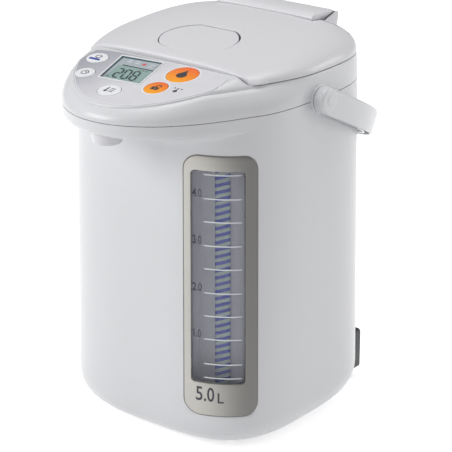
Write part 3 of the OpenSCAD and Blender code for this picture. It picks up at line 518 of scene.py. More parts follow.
# Lighter and darker colour (or a colour setting and two factors), roughness range, drift and grain scales, bump
FINISHES = {
    "case_white": (("case", 1.01, 0.985), (0.24, 0.34), 7, 1500, 0.03, {"coat": 0.15}),
    "lid_white": (("lid", 1.01, 0.985), (0.26, 0.36), 7, 1500, 0.03, {"coat": 0.15}),
    "panel_silver": (("panel", 1.02, 0.97), (0.3, 0.42), 60, 2600, 0.03),
    "panel_border": (((0.78, 0.79, 0.81), (0.72, 0.73, 0.75)), (0.25, 0.35), 30, 1800, 0.02),
    "print_white": (((0.86, 0.86, 0.87), (0.80, 0.80, 0.82)), (0.3, 0.42), 40, 1800, 0.02),
    "print_dark": (((0.045, 0.045, 0.055), (0.03, 0.03, 0.04)), (0.4, 0.55), 50, 1800, 0.03),
    "print_blue": (((0.03, 0.07, 0.42), (0.025, 0.05, 0.32)), (0.35, 0.5), 50, 1800, 0.03),
    "print_red": (((0.75, 0.06, 0.05), (0.6, 0.04, 0.04)), (0.35, 0.5), 50, 1800, 0.03),
    "key_orange_large": (("key", 1.0, 0.94), (0.22, 0.34), 60, 1400, 0.02, {"coat": 0.3}),
    "key_orange_small": (("key", 1.0, 0.94), (0.22, 0.34), 60, 1400, 0.02, {"coat": 0.3}),
    "key_pale": (((0.84, 0.85, 0.87), (0.78, 0.79, 0.82)), (0.32, 0.45), 60, 1400, 0.03),
    "screen_cell": (((0.30, 0.43, 0.40), (0.26, 0.38, 0.36)), (0.18, 0.28), 60, 1200, 0.01, {"coat": 0.4}),
    "screen_upper": (((0.44, 0.49, 0.53), (0.40, 0.45, 0.49)), (0.2, 0.3), 60, 1200, 0.01, {"coat": 0.4}),
    "screen_shade": (((0.045, 0.115, 0.135), (0.035, 0.09, 0.11)), (0.35, 0.5), 60, 1200, 0.02),
    "screen_ink": (((0.022, 0.05, 0.05), (0.016, 0.04, 0.04)), (0.35, 0.5), 60, 1200, 0.01),
    "frame_silver": (("window_frame", 1.25, 1.14), (0.30, 0.42), 14, 3000, 0.05, {"metallic": 0.7}),
    "frame_line": (((0.22, 0.21, 0.20), (0.18, 0.17, 0.165)), (0.4, 0.5), 30, 1800, 0.02),
    "window_smoke": (((0.30, 0.31, 0.33), (0.27, 0.28, 0.30)), (0.05, 0.12), 10, 700, 0.01, {"alpha": 0.14}),
    "tube_clear": (((0.80, 0.86, 0.88), (0.72, 0.80, 0.82)), (0.03, 0.09), 30, 600, 0.01, {"alpha": 0.05}),
    "strip_stripes": (((0.58, 0.70, 0.66), (0.52, 0.63, 0.60)), (0.35, 0.5), 50, 1500, 0.02),
    "backplate_grey": (((0.74, 0.745, 0.82), (0.69, 0.695, 0.76)), (0.45, 0.6), 20, 1200, 0.04),
    "mark_white": (((0.74, 0.76, 0.79), (0.70, 0.72, 0.75)), (0.35, 0.5), 40, 1800, 0.02),
    "mark_grey": (((0.075, 0.078, 0.09), (0.06, 0.063, 0.075)), (0.4, 0.55), 40, 1800, 0.02),
    "stainless": (((0.74, 0.74, 0.75), (0.66, 0.66, 0.68)), (0.18, 0.34), 14, 500, 0.06,
                  {"metallic": 1.0, "stretch": (1, 1, 0.06)}),
    "spring_steel": (((0.62, 0.62, 0.64), (0.52, 0.52, 0.55)), (0.2, 0.34), 60, 1500, 0.05,
                     {"metallic": 1.0, "stretch": (0.2, 1, 1)}),
    "grey_plastic": (((0.44, 0.45, 0.47), (0.40, 0.41, 0.43)), (0.38, 0.52), 20, 900, 0.10),
    "pale_plastic": (((0.72, 0.72, 0.71), (0.67, 0.67, 0.66)), (0.34, 0.48), 20, 900, 0.08),
    "silicone": (((0.66, 0.69, 0.71), (0.58, 0.61, 0.64)), (0.42, 0.56), 25, 700, 0.08),
    "dark_rubber": (((0.06, 0.06, 0.062), (0.04, 0.04, 0.042)), (0.62, 0.8), 40, 1100, 0.2),
    "black_plastic": (((0.035, 0.035, 0.037), (0.024, 0.024, 0.026)), (0.34, 0.5), 30, 1100, 0.12),
    "board_green": (((0.03, 0.22, 0.09), (0.02, 0.13, 0.055)), (0.3, 0.5), 260, 1500, 0.1),
    "heater_mica": (((0.55, 0.44, 0.26), (0.36, 0.27, 0.15)), (0.35, 0.55), 120, 600, 0.15),
    "magnet_dark": (((0.12, 0.12, 0.125), (0.08, 0.08, 0.085)), (0.5, 0.7), 90, 900, 0.2),
    "contact_brass": (((0.80, 0.62, 0.28), (0.68, 0.50, 0.20)), (0.18, 0.3), 80, 1500, 0.05, {"metallic": 1.0}),
}
# Direction of a gradient in the object, its span, its two colours and how it is laid over the finish
FADE = ((1.0, 0.42, 0.0), (0.93, 0.115, 0.0), "LINEAR", "MIX", 0.12)
GRADED = {
    "panel_silver": ((1.0, -0.45, 0.0), (-0.028, 0.062), (0.55, 0.555, 0.60), (1, 1, 1)),
    # painted shade: the window frame's colour is darkened towards its right and rear, the side turned away from the
    # front lamp
    "frame_silver": ((1.0, 1.0, 0.0), (-0.054, 0.020), (1, 1, 1), (0.36, 0.365, 0.375)),
    "key_orange_large": ((0.0, 1.0, 0.0), (-0.098, -0.072), *FADE),
    "key_orange_small": ((0.0, 1.0, 0.0), (-0.119, -0.101), *FADE),
}
BAND_BLUE, BAND_SLANT = (0.01, 0.035, 0.55, 1), -0.62
MADE = {}


class Graph:
    """Nodes of a material or a world, added and linked by short calls."""

    def __init__(self, owner, end):
        owner.use_nodes = True
        self.nodes, self.links = owner.node_tree.nodes, owner.node_tree.links
        self.end = self.nodes[end]

    def set(self, node, values, wires=()):
        """Gives inputs their values (input, value) and their wires (input, node, output)."""
        for key, value in values:
            node.inputs[key].default_value = value
        for key, source, output in wires:
            self.links.new(source.outputs[output], node.inputs[key])
        return node

    def add(self, kind, values=(), wires=(), **settings):
        node = self.nodes.new("ShaderNode" + kind)
        for key, value in settings.items():
            setattr(node, key, value)
        return self.set(node, values, wires)

    def ramp(self, source, output, *stops):
        """A colour ramp over (position, colour) stops."""
        node = self.add("ValToRGB", (), [("Fac", source, output)])
        elements = node.color_ramp.elements
        while len(elements) < len(stops):
            elements.new(0.99)
        for element, (position, colour) in zip(elements, stops):
            element.position, element.color = position, (*colour, 1)
        return node

    def seen(self, other):
        """1 for rays from the camera and for the other kind named."""
        path = self.add("LightPath")
        return self.add("Math", (), [(0, path, "Is Camera Ray"), (1, path, other)], operation="MAXIMUM")


def surface(name, tones, rough, mottle, grain, bump, more):
    """A moulded or metal finish: slow drift between two close colours, uneven roughness and a fine grain bump."""
    mat = bpy.data.materials.new(name)
    g = Graph(mat, "Principled BSDF")
    g.place = g.add("Mapping", [("Scale", more.get("stretch", (1, 1, 1)))],
                    [("Vector", g.add("TexCoord"), "Object")])
    cloud, fine = (g.add("TexNoise", [("Scale", scale), ("Detail", detail)], [("Vector", g.place, "Vector")])
                   for scale, detail in ((mottle, 3.0), (grain, 2.0)))
    g.tone = g.ramp(cloud, "Fac", (0.3, tones[1]), (0.7, tones[0]))
    span = g.add("MapRange", [("To Min", rough[0]), ("To Max", rough[1])], [("Value", fine, "Fac")])
    press = g.add("Bump", [("Strength", bump), ("Distance", 0.0002)], [("Height", fine, "Fac")])
    alpha = more.get("alpha", 1.0)
    if alpha < 1:
        mat.surface_render_method = "BLENDED"
    g.set(g.end, [("Metallic", more.get("metallic", 0.0)), ("Coat Weight", more.get("coat", 0.0)),
                  ("Coat Roughness", 0.12), ("Alpha", alpha), ("Specular IOR Level", 0.5)],
          [("Base Color", g.tone, "Color"), ("Roughness", span, "Result"), ("Normal", press, "Normal")])
    return mat, g


def graded(g, along, span, low, high, shape="SMOOTHSTEP", mode="MULTIPLY", factor=1.0):
    """Lays the finish over, or multiplies it by, a ramp from low to high along a direction in the object."""
    dot = g.add("VectorMath", [(1, along)], [(0, g.place, "Vector")], operation="DOT_PRODUCT")
    part = g.add("MapRange", [("From Min", span[0]), ("From Max", span[1])], [("Value", dot, "Value")],
                 interpolation_type=shape)
    blend = g.add("Mix", [("Factor", factor)],
                  [("A", g.ramp(part, "Result", (0, low), (1, high)), "Color"), ("B", g.tone, "Color")],
                  data_type="RGBA", blend_type=mode)
    g.set(g.end, (), [("Base Color", blend, "Result")])


def striped(g):
    """Blue bands that climb to the right across the pale ribbon."""
    split = g.add("SeparateXYZ", (), [("Vector", g.add("UVMap"), "UV")])
    climb = g.add("Math", [(1, BAND_SLANT)], [(0, split, "X"), (2, split, "Y")], operation="MULTIPLY_ADD")
    wrap = g.add("Math", (), [(0, climb, "Value")], operation="FRACT")
    edge = g.ramp(wrap, "Value", (0.46, (0, 0, 0)), (0.50, (1, 1, 1)), (0.95, (1, 1, 1)), (0.99, (0, 0, 0)))
    blend = g.add("Mix", [("B", BAND_BLUE)], [("Factor", edge, "Color"), ("A", g.tone, "Color")], data_type="RGBA")
    g.set(g.end, (), [("Base Color", blend, "Result")])


def finish(name):
    """The finish of that name, made at its first use."""
    if name not in MADE:
        tones, rough, mottle, grain, bump, *more = FINISHES[name]
        if isinstance(tones[0], str):
            base = getattr(bpy.context.scene.pot_colours, tones[0])
            tones = [[min(c * k, 1.0) for c in base] for k in tones[1:]]
        mat, g = surface(name, tones, rough, mottle, grain, bump, more[0] if more else {})
        if name in GRADED:
            graded(g, *GRADED[name])
        if name == "strip_stripes":
            striped(g)
        MADE[name] = mat
    return MADE[name]


# ---------------------------------------------------------------- settings

class PotEdges(bpy.types.PropertyGroup):
    seam: FloatProperty(name="Seam rounding", description="Rounding of both edges at the body's seam", default=0.0005,
                        unit="LENGTH")
    rim: FloatProperty(name="Rim rounding", description="Rounding of the housing's upper rim", default=0.0013,
                       unit="LENGTH")
    lid_front: FloatProperty(name="Lid front rounding", description="Rounding of the lid's front edge", default=0.0032,
                             unit="LENGTH")
    lid_side: FloatProperty(name="Lid side rounding", description="Rounding of the lid's other edges", default=0.0009,
                            unit="LENGTH")
    panel: FloatProperty(name="Panel rounding", description="Rounding of the panel's upper edge", default=0.0006,
                         unit="LENGTH")
    print_height: FloatProperty(name="Print height", description="Thickness of printed marks", default=0.00006,
                                unit="LENGTH")


class PotColours(bpy.types.PropertyGroup):
    case: FloatVectorProperty(name="Case", description="White of the body", subtype="COLOR", size=3,
                              default=(0.70, 0.705, 0.725))
    lid: FloatVectorProperty(name="Lid", description="White of the lid and its hinge", subtype="COLOR", size=3,
                             default=(0.71, 0.71, 0.735))
    panel: FloatVectorProperty(name="Panel", description="Silver of the control panel", subtype="COLOR", size=3,
                               default=(0.70, 0.70, 0.73))
    key: FloatVectorProperty(name="Keys", description="Middle tone of the two large keys", subtype="COLOR", size=3,
                             default=(1.0, 0.24, 0.0))
    window_frame: FloatVectorProperty(name="Window frame", description="Champagne silver round the gauge",
                                      subtype="COLOR", size=3, default=(0.37, 0.36, 0.335))


class PotStudio(bpy.types.PropertyGroup):
    front_lamp: FloatProperty(name="Front lamp", description="Power of the soft lamp at the front left", default=26.0,
                              unit="POWER")
    side_lamp: FloatProperty(name="Side lamp", description="Power of the soft lamp at the rear right", default=12.0,
                             unit="POWER")
    top_lamp: FloatProperty(name="Top lamp", description="Power of the soft lamp overhead", default=17.0, unit="POWER")
    fill: FloatProperty(name="Fill", description="Strength of the even light from all round", default=0.36)
    lens: FloatProperty(name="Lens", description="Focal length of the camera in millimetres", default=157.3)


def edge_size(name):
    return getattr(bpy.context.scene.pot_edges, name) / MM


# ---------------------------------------------------------------- outer shells

def columns(extra=()):
    """Directions round the pot, even but for those that have to meet an edge."""
    a = np.radians(np.arange(0, 360, 1.25))
    for e in extra:
        a[np.argmin(np.abs(a - e))] = e
    return a


def case_rows(a, seam):
    """Case from its bottom rounding up the flared wall, out under the beak on a curve whose reach grows as
    1 - (1 - u^3)^(1/3), round the lip and up to the seam."""
    rings = [(CASE_Z + BOTTOM_R * (1 - math.sin(phi)), BOTTOM_R * (1 - math.cos(phi)), 0, 0)
             for phi in np.linspace(math.pi / 2, 0, 13)]
    rings += [(z, 0, 0, 0) for z in (42, 60, 90, 120, 150, 180, 210, 235, 250, 257, 260)]
    rings += [(BEAK_START + (BEAK_UNDER - BEAK_START) * math.sin(phi) ** (2 / 3), 0, BEAK_REACH - LIP_R,
               1 - max(math.cos(phi), 0) ** (2 / 3)) for phi in np.radians(np.linspace(4, 90, 26))]
    rings += [(BEAK_UNDER + LIP_R * (1 - math.cos(phi)), 0, BEAK_REACH - LIP_R * (1 - math.sin(phi)), 1)
              for phi in np.radians(np.linspace(9, 90, 10))]
    rows = [outline(a, flared(HALF_W, z) - inset, flared(HALF_D, z) - inset, front, share, z)
            for z, inset, front, share in rings]
    rows.append(seam_ring(a, 0, 293.2))
    rows.extend(curve(seam_ring(a, 0, SEAM_LOW - seam), seam_ring(a, 0, SEAM_LOW), seam_ring(a, seam, SEAM_LOW), 4))
    return np.stack(rows)


class POT_OT_case(bpy.types.Operator):
    """Case with the lower half of the beak as one smooth skin, with the gauge window's opening"""
    bl_idname = "pot.case"
    bl_label = "Case"

    def execute(self, context):
        corners = [wall_point(bent, 150.0, 0) for bent in CASE_OPENING[:2]]
        edges = sorted(math.atan2(y, x) % (2 * math.pi) for x, y, _ in corners)
        a = columns(edges)
        rows = case_rows(a, edge_size("seam"))
        z = rows[:, 0, 2]
        middle = (a + np.roll(a, -1)) / 2
        middle[-1] = (a[-1] + 2 * math.pi) / 2 + a[0] / 2
        open_column = (middle > edges[0]) & (middle < edges[1])
        open_row = (z[:-1] > CASE_OPENING[2]) & (z[1:] < CASE_OPENING[3])
        skin = Skin()
        skin.grid(rows, around=True, keep=~(open_row[:, None] & open_column[None, :]))
        make_piece("case_shell", skin, "pot", "case_white", None, ("outer_case", "spout_base"), (0, 0, 150), CASE_WALL)
        return {"FINISHED"}


def rim_plan(a, share, inset=0.0):
    """The housing's ring in plan: pinched at the sides and tucked at the beak by share, and moved in by inset."""
    x, y, _ = outline(a, HALF_W - share, HALF_D - share, BEAK_REACH, 1, 0).T
    tuck = 1 - 0.055 * ramp(-y, 60, 150)
    return pts(x * (1 + (pinch(y) - 1) * share), y * (1 + (tuck - 1) * share)) * (1 - inset / np.hypot(x, y))[:, None]


FINE = np.radians(np.arange(0, 360, 0.25))
RIM = rim_plan(FINE, 1.0)
RIM_POLAR = np.unwrap(np.arctan2(RIM[:, 1], RIM[:, 0]))
RIM_REACH = np.hypot(RIM[:, 0], RIM[:, 1])


def rim_inset(p):
    """How far a plan point lies inside the rim, along its own direction."""
    polar = (np.arctan2(p[:, 1], p[:, 0]) - RIM_POLAR[0]) % (2 * math.pi) + RIM_POLAR[0]
    return np.interp(polar, RIM_POLAR, RIM_REACH, period=2 * math.pi) - np.hypot(p[:, 0], p[:, 1])


def housing_top(p):
    """Top of the housing: the panel's slope in front, with a rounded shoulder of a quarter parabola down to the rim,
    and a flat ledge beside and behind the lid."""
    inset = np.clip(rim_inset(p) / SHOULDER_W, 0, 1)
    rise = SHOULDER_H * (1 - (1 - inset) ** 2) * ramp(-p[:, 1], STEP_Y, STEP_Y + 6)
    deck = PANEL_Z + DECK_LIFT + PANEL_SLOPE * (np.minimum(p[:, 1], LID_FRONT) - PANEL_Y)
    return np.minimum(deck, LEDGE_Z + rise)


def key_loop(name, grow, n=56):
    x, y, rx, ry = KEYS[name]
    return ellipse(x, y, rx + grow, ry + grow, n)


class POT_OT_housing(bpy.types.Operator):
    """Upper housing: sides, rim, sloping deck with its key openings, lid pocket and latch slot"""
    bl_idname = "pot.housing"
    bl_label = "Upper housing"

    def execute(self, context):
        seam, r = edge_size("seam"), edge_size("rim")
        a = columns()
        rim = rim_plan(a, 1.0)
        rim_z = housing_top(rim)
        start, corner, end = ((seam, SEAM_HIGH), (0, SEAM_HIGH), (0, SEAM_HIGH + seam))
        rows = list(curve(*(seam_ring(a, *spot) for spot in (start, corner, end)), 4))
        for u in (0.08, 0.16, 0.26, 0.36, 0.46, 0.56, 0.66, 0.75, 0.83, 0.9):
            rows.append(lifted(rim_plan(a, u ** 2.4), SEAM_HIGH + (rim_z - 1 - SEAM_HIGH) * u))
        ring = rim_plan(a, 1.0, r)
        # where the lid's front corner meets the rim
        corner = front_corner(-0.4, 200)
        cross = corner[np.argmax(rim_inset(corner) > r)]
        right, left = (int(np.argmin(np.linalg.norm(ring - spot, axis=1))) for spot in (cross, cross * FLIP))
        ring[right], ring[left] = cross, cross * FLIP
        rows.extend(curve(lifted(rim, rim_z - 1.3 * r), lifted(rim, rim_z), lifted(ring, housing_top), 7))
        skin = Skin()
        skin.grid(rows, around=True)
        # edge of the deck above the lid's front, from right to left
        half = np.concatenate([cross[None], corner[rim_inset(corner) > r + 0.3][::7]])
        if np.linalg.norm(half[-1] - corner[-1]) > 0.01:
            half = np.concatenate([half, corner[-1:]])
        step = np.concatenate([half, pts(FRONT_STOPS, LID_FRONT - 0.4), (half * FLIP)[::-1]])
        height = housing_top(step)
        ease = np.minimum(0.8, 0.5 * (height - LEDGE_Z))
        moved = step.copy()
        moved[1:-1, 1] -= ease[1:-1]
        skin.grid([*curve(lifted(moved, housing_top), lifted(step, height), lifted(step, height - ease), 5),
                   lifted(step, LEDGE_Z)])
        # deck in front of the lid
        holes = [panel_to_plan(loop) for loop in [key_loop(k, 0.35) for k in KEYS] + [screen_quad(0.2)]]
        rings = [rim_plan(FINE[::10], 1.0, d) for d in (3.8, 5.6, 7.6, 9.8, 12.2)]
        comb = lattice((-110, -160), (110, -60), 5.0)
        plan, tri = trimmed(np.concatenate([ring[left:right + 1], moved[1:-1]]), holes, 3.0,
                            np.concatenate(rings + [comb[rim_inset(comb) > 14]]))
        skin.add(lifted(plan, housing_top), tri)
        # ledge round the pocket, pocket wall with the latch slot, and the deck under the lid
        pocket = pocket_loop(3.0)
        plan, tri = trimmed(np.concatenate([ring[right:], ring[:left + 1], step[1:-1][::-1]]), [pocket], 8.0)
        skin.add(lifted(plan, LEDGE_Z), tri)
        keep = np.ones((3, len(pocket)), bool)
        keep[1] = (np.abs((pocket + np.roll(pocket, -1, 0))[:, 0] / 2) >= 12) | (pocket[:, 1] >= -60)
        skin.grid([lifted(pocket, z) for z in (LEDGE_Z, 317.2, 312.8, POCKET_Z)], around=True, keep=keep)
        plan, tri = trimmed(pocket, [ellipse(0, MOUTH_Y, COLLAR_R, COLLAR_R, 120)], 9.0)
        skin.add(lifted(plan, POCKET_Z), tri)
        make_piece("upper_shell", skin, "pot", "case_white", None, ("upper_housing",), (0, 0, 290), 1.2)
        return {"FINISHED"}


# ---------------------------------------------------------------- lid, hinge and lever

def lid_loop(inset):
    """The lid cover's edge: sides, rounded corners, straight front, and the notch that clears the hinge barrel."""
    i = inset + 0.4
    rear, edge, notch = LID_REAR - i, BARREL_HALF + i, HINGE_Y - BARREL_R - 0.45 - inset
    y = np.linspace(rear, SIDE_END, 64)
    right = np.concatenate([
        pts(np.linspace(0, edge, 30), notch), pts(edge, np.linspace(notch, rear, 6)[1:]),
        pts(np.linspace(edge, side_x(rear, i), 8)[1:-1], rear), pts(side_x(y, i), y), front_corner(i, 26)[1:],
        pts((60, 50, 40, 30, 20, 10, 0), LID_FRONT + i)])
    return np.concatenate([right, (right * FLIP)[1:-1][::-1]])[::-1].copy()


def lever_reach(t, grow, shift):
    """Distance from the lever's middle to its outline, the nearer of a circle in front and an ellipse, both moved
    towards the rear by shift."""
    c, s = np.cos(t), np.sin(t)
    rx, ry, far = LEVER_R + grow, LEVER_DEPTH * (LEVER_R + grow), LEVER_FRONT_Y + shift
    b = s * far
    circle = b + np.sqrt(np.maximum(b * b - far * far + (LEVER_FRONT_R + grow) ** 2, 0))
    aa, bb, cc = (c / rx) ** 2 + (s / ry) ** 2, s * shift / ry ** 2, (shift / ry) ** 2 - 1
    return np.minimum(circle, (bb + np.sqrt(bb * bb - aa * cc)) / aa)


def lever_loop(grow, rear, swing=0.0):
    """The lever's outline, cut straight at the rear, and widened by what it sweeps as it swings."""
    t = around(200)
    r = np.maximum(lever_reach(t, grow, 0.0), lever_reach(t, grow, swing))
    s = np.sin(t)
    r = np.where(s > 0, np.minimum(r, (rear - LEVER_Y) / np.maximum(s, 1e-9)), r)
    return softened(arc(0, LEVER_Y, r, t), 1.6, 0.9)


class POT_OT_lid(bpy.types.Operator):
    """Domed lid cover with its rounded front edge and the opening for the lever"""
    bl_idname = "pot.lid"
    bl_label = "Lid cover"

    def execute(self, context):
        side, front = edge_size("lid_side"), edge_size("lid_front")
        full = lid_loop(0.0)
        r = side + (front - side) * ramp(-full[:, 1], 40, 64)
        inner = full + (lid_loop(3.2) - full) * (r / 3.2)[:, None]
        crest, base = lifted(full, dome), lifted(full, LID_FLOOR)
        foot = lifted(full, np.maximum(crest[:, 2] - r * 1.2, LID_FLOOR + 0.8))
        mid = (foot + base) / 2
        # the front face leans with the deck's edge: its y at a height, and what it gains per millimetre
        y, z, lean = FRONT_LEAN
        for ring in (crest, foot, mid, base):
            ring[:, 1] = np.maximum(ring[:, 1], y - (ring[:, 2] - z) * lean)
        skin = Skin()
        skin.grid([base, mid, *curve(foot, crest, lifted(inner, dome), 7)], around=True)
        hole = lever_loop(0.75, 3.0, 1.2)
        wide = turned_in(hole, -0.7)
        skin.grid([lifted(hole, dome(hole, 2.2)),
                   *curve(lifted(hole, dome(hole, 0.8)), lifted(hole, dome), lifted(wide, dome), 5)], around=True)
        comb = lattice((-104, -68), (104, 80), 4.2)
        rings = [lid_loop(d) for d in (1.6, 2.6, 3.8, 5.4, 7.4, 9.8, 12.6)]
        plan, tri = trimmed(inner, [wide], 2.4, np.concatenate(rings + [comb[inside(lid_loop(14.0), comb)]]))
        skin.add(lifted(plan, dome), tri)
        make_piece("lid_shell", skin, "lid", "lid_white", None, ("lid_cover",), (0, 0, 300), 1.6)
        return {"FINISHED"}


class POT_OT_lever(bpy.types.Operator):
    """Flush lever that opens the lid, with its hub"""
    bl_idname = "pot.lever"
    bl_label = "Lid lever"

    def execute(self, context):
        def under(p):
            """Underside: 2.9 mm below the top, raised over the two bearing posts."""
            over = (np.abs(np.abs(p[:, 0]) - POST_X) < POST_HALF) & (p[:, 1] > POST_FRONT)
            return np.where(over, np.maximum(dome(p, 3.2), POST_TOP), dome(p, 3.2))

        skin = Skin()
        slab(skin, lever_loop(0.0, 1.1), lambda p: dome(p, 0.3), under, 0.55, pitch=3.0, steps=4)
        hub = eased([(0.05, -11), (PIN_R, -11), (PIN_R, 11), (0.05, 11)], (0, 0.4, 0.4, 0))
        revolve(skin, hub[::-1], 40, LEVER_AXIS, True)
        make_piece("lever_cap", skin, "lever", "lid_white", None, ("lid_lever",))
        return {"FINISHED"}


def hood_ring(x, drop):
    """The hinge cover's section at x: up out of the dome, over a top that falls gently to the rear, and down."""
    foot = dome(np.array([x, 62.9])) - 1.2
    line = [(62.9 + drop, foot), (65.6 + drop, 344.6 - drop), (81.0, 345.0 - drop), (92.6 - drop, 343.4 - drop),
            (93.6 - drop, 342.0 - drop * 0.5)]
    y, z = eased(line, (0, 5.0, 11.0, 1.0, 0), 6).T
    return pts(x, y, z)


class POT_OT_hood(bpy.types.Operator):
    """Hinge cover: a low rounded box over the hinge, open below, and the hinge pin inside it"""
    bl_idname = "pot.hood"
    bl_label = "Hinge cover"

    def execute(self, context):
        r = 1.8
        ends = [(BARREL_HALF - r + r * math.sin(t), r * (1 - math.cos(t))) for t in np.linspace(math.pi / 2, 0, 6)]
        xs = ends + [(x, 0.0) for x in np.linspace(46, -46, 12)] + [(-x, d) for x, d in ends[::-1]]
        rows = np.stack([hood_ring(x, d) for x, d in xs])
        skin = Skin()
        skin.grid(rows)
        for ring in (rows[0], rows[-1]):
            skin.cap(ring, [ring[0, 0], HINGE_Y, HINGE_Z - 0.5], closed=False)
        make_piece("hinge_hood", skin, "lid", "lid_white", None, ("hinge_cover",), (0, HINGE_Y, 330), 1.0)
        skin = Skin()
        pin = eased([(0.05, -51), (PIN_R, -51), (PIN_R, 51), (0.05, 51)], (0, 0.5, 0.5, 0))
        revolve(skin, pin[::-1], 40, (HINGE_Y, HINGE_Z), True)
        make_piece("hinge_rod", skin, "pot", "spring_steel", None, ("hinge_pin",))
        return {"FINISHED"}


class POT_OT_rear_dome(bpy.types.Operator):
    """Fixed rear part of the dome with the trough that the hinge cover turns in, and the two hinge lugs"""
    bl_idname = "pot.rear_dome"
    bl_label = "Rear dome"

    def execute(self, context):
        skin = Skin()
        half, front = TROUGH_HALF, LID_REAR + 0.8
        y = np.linspace(front, 101.05, 70)
        rim = pts(side_x(y, 0.4), y)
        rim = np.concatenate([rim[rim[:, 0] > 2], [[0.0, y[-1]]]])
        rim = resampled(np.concatenate([rim, (rim * FLIP)[:-1][::-1]]), 3.0)
        rim = rim[rim[:, 1] > front + 0.4]
        rim = rim[np.argsort(np.arctan2(rim[:, 1], rim[:, 0]))]
        end_x = side_x(front, 0.4)
        edge = np.concatenate([[[end_x, front]], rim, [[-end_x, front]]])
        # where the dome meets the trough's outside
        xs, ys = np.linspace(-half, half, 60), np.linspace(front, 100, 400)
        past = (ys - HINGE_Y) ** 2 + (dome(pts(xs[:, None], ys)) - HINGE_Z) ** 2 > TROUGH_OUT ** 2
        meet = pts(xs, ys[np.argmax(past & (ys >= HINGE_Y + 8), axis=1)] - 0.6)
        loop = np.concatenate([edge, pts((-80, -66, -half), front), [[-half, 85.0]], meet, [[half, 85.0]],
                               pts((half, 66, 80), front)])
        rings = [pts(side_x(y[:-6], d), y[:-6]) for d in (1.4, 2.6, 4.4, 7.0)]
        rings = [q[q[:, 0] > 0] for q in rings]
        extra = np.concatenate(rings + [q * FLIP for q in rings] + [lattice((-104, 70), (104, 101), 3.6)])
        plan, tri = trimmed(loop, [], 2.4, extra)
        skin.add(lifted(plan, dome), tri)
        skin.grid([lifted(edge, LEDGE_Z + 0.2), lifted(edge, dome)])
        # trough along X, from its rear lip round to its front edge
        t = np.linspace(math.asin(TROUGH_LIP / TROUGH_OUT), -math.pi / 2 - 0.03, 30)
        outside = arc(0, 0, TROUGH_OUT, t)
        section = eased(np.concatenate([outside, arc(0, 0, TROUGH_IN, t)[::-1]]), [0.8] + [0] * 58 + [0.8], 3)
        skin.bar_x(section, np.linspace(half, -half, 30), caps=False)
        # end walls of the trough, and the lugs that hold the pin
        wall = np.concatenate([outside, [[-0.7, -2.0]]])
        lug = np.concatenate([arc(0, 0, LUG_R, np.linspace(0, math.pi, 20)), [[-0.6, -4.2], [-0.6, -18], [LUG_R, -18]]])
        for side in (-1, 1):
            skin.bar_x(wall, (side * (half - 1.9), side * half))
            skin.bar_x(lug, [side * x for x in LUG_SPAN])
        make_piece("rear_dome", skin, "pot", "lid_white", None, ("rear_cover",), (0, 70, 318))
        return {"FINISHED"}


# ---------------------------------------------------------------- control panel

def panel_loop():
    """Panel outline in its own plane: half an ellipse in front and a bowed rear edge, kept 1.1 mm inside the rim."""
    t, x = np.linspace(0, math.pi, 90), np.linspace(70, -70, 80)
    rear = pts(x, 32.6 + (26 - 32.6) * (np.abs(x) / 72) ** 4)
    loop = softened(np.concatenate([pts(-70.92 * np.cos(t), 14 - 63 * np.sin(t)), rear]), 3.0, 1.2)
    plan = panel_to_plan(loop)
    over = np.clip(1.1 - rim_inset(plan), 0, None)
    plan *= (1 - over / np.hypot(plan[:, 0], plan[:, 1]))[:, None]
    return pts(plan[:, 0], (plan[:, 1] - PANEL_Y) * math.hypot(1, PANEL_SLOPE))


def screen_quad(grow):
    """The screen's outline, with the slight slant of the key layout."""
    return turned_in(eased(SCREEN, [1.2] * 4, 5), -grow)


class POT_OT_panel(bpy.types.Operator):
    """Silver panel film with its border line and the mark for slow flow"""
    bl_idname = "pot.panel"
    bl_label = "Control panel"

    def execute(self, context):
        loop = panel_loop()
        plate("panel_film", "panel_silver", None, ("control_panel",), loop, PANEL_TOP, 0.03, edge_size("panel"),
              [key_loop(k, 0.35) for k in KEYS] + [screen_quad(0.2)], on_panel, 5.0)
        line = turned_in(loop, 0.75)
        flat_print("panel_border_line", [(line, [turned_in(line, 0.8)])], "panel_border", "panel_silver", PANEL_TOP)
        slow = [ellipse(-3.4, 2.2, 0.8, 0.8, 16), ellipse(3.4, 2.2, 0.8, 0.8, 16),
                np.array([(-1.3, 1.4), (1.3, 1.4), (0, 3.4)]), drop_shape(0, -2.4, 1.9)]
        flat_print("slow_flow_mark", slow, "print_dark", "panel_silver", PANEL_TOP, at=SLOW_MARK)
        return {"FINISHED"}


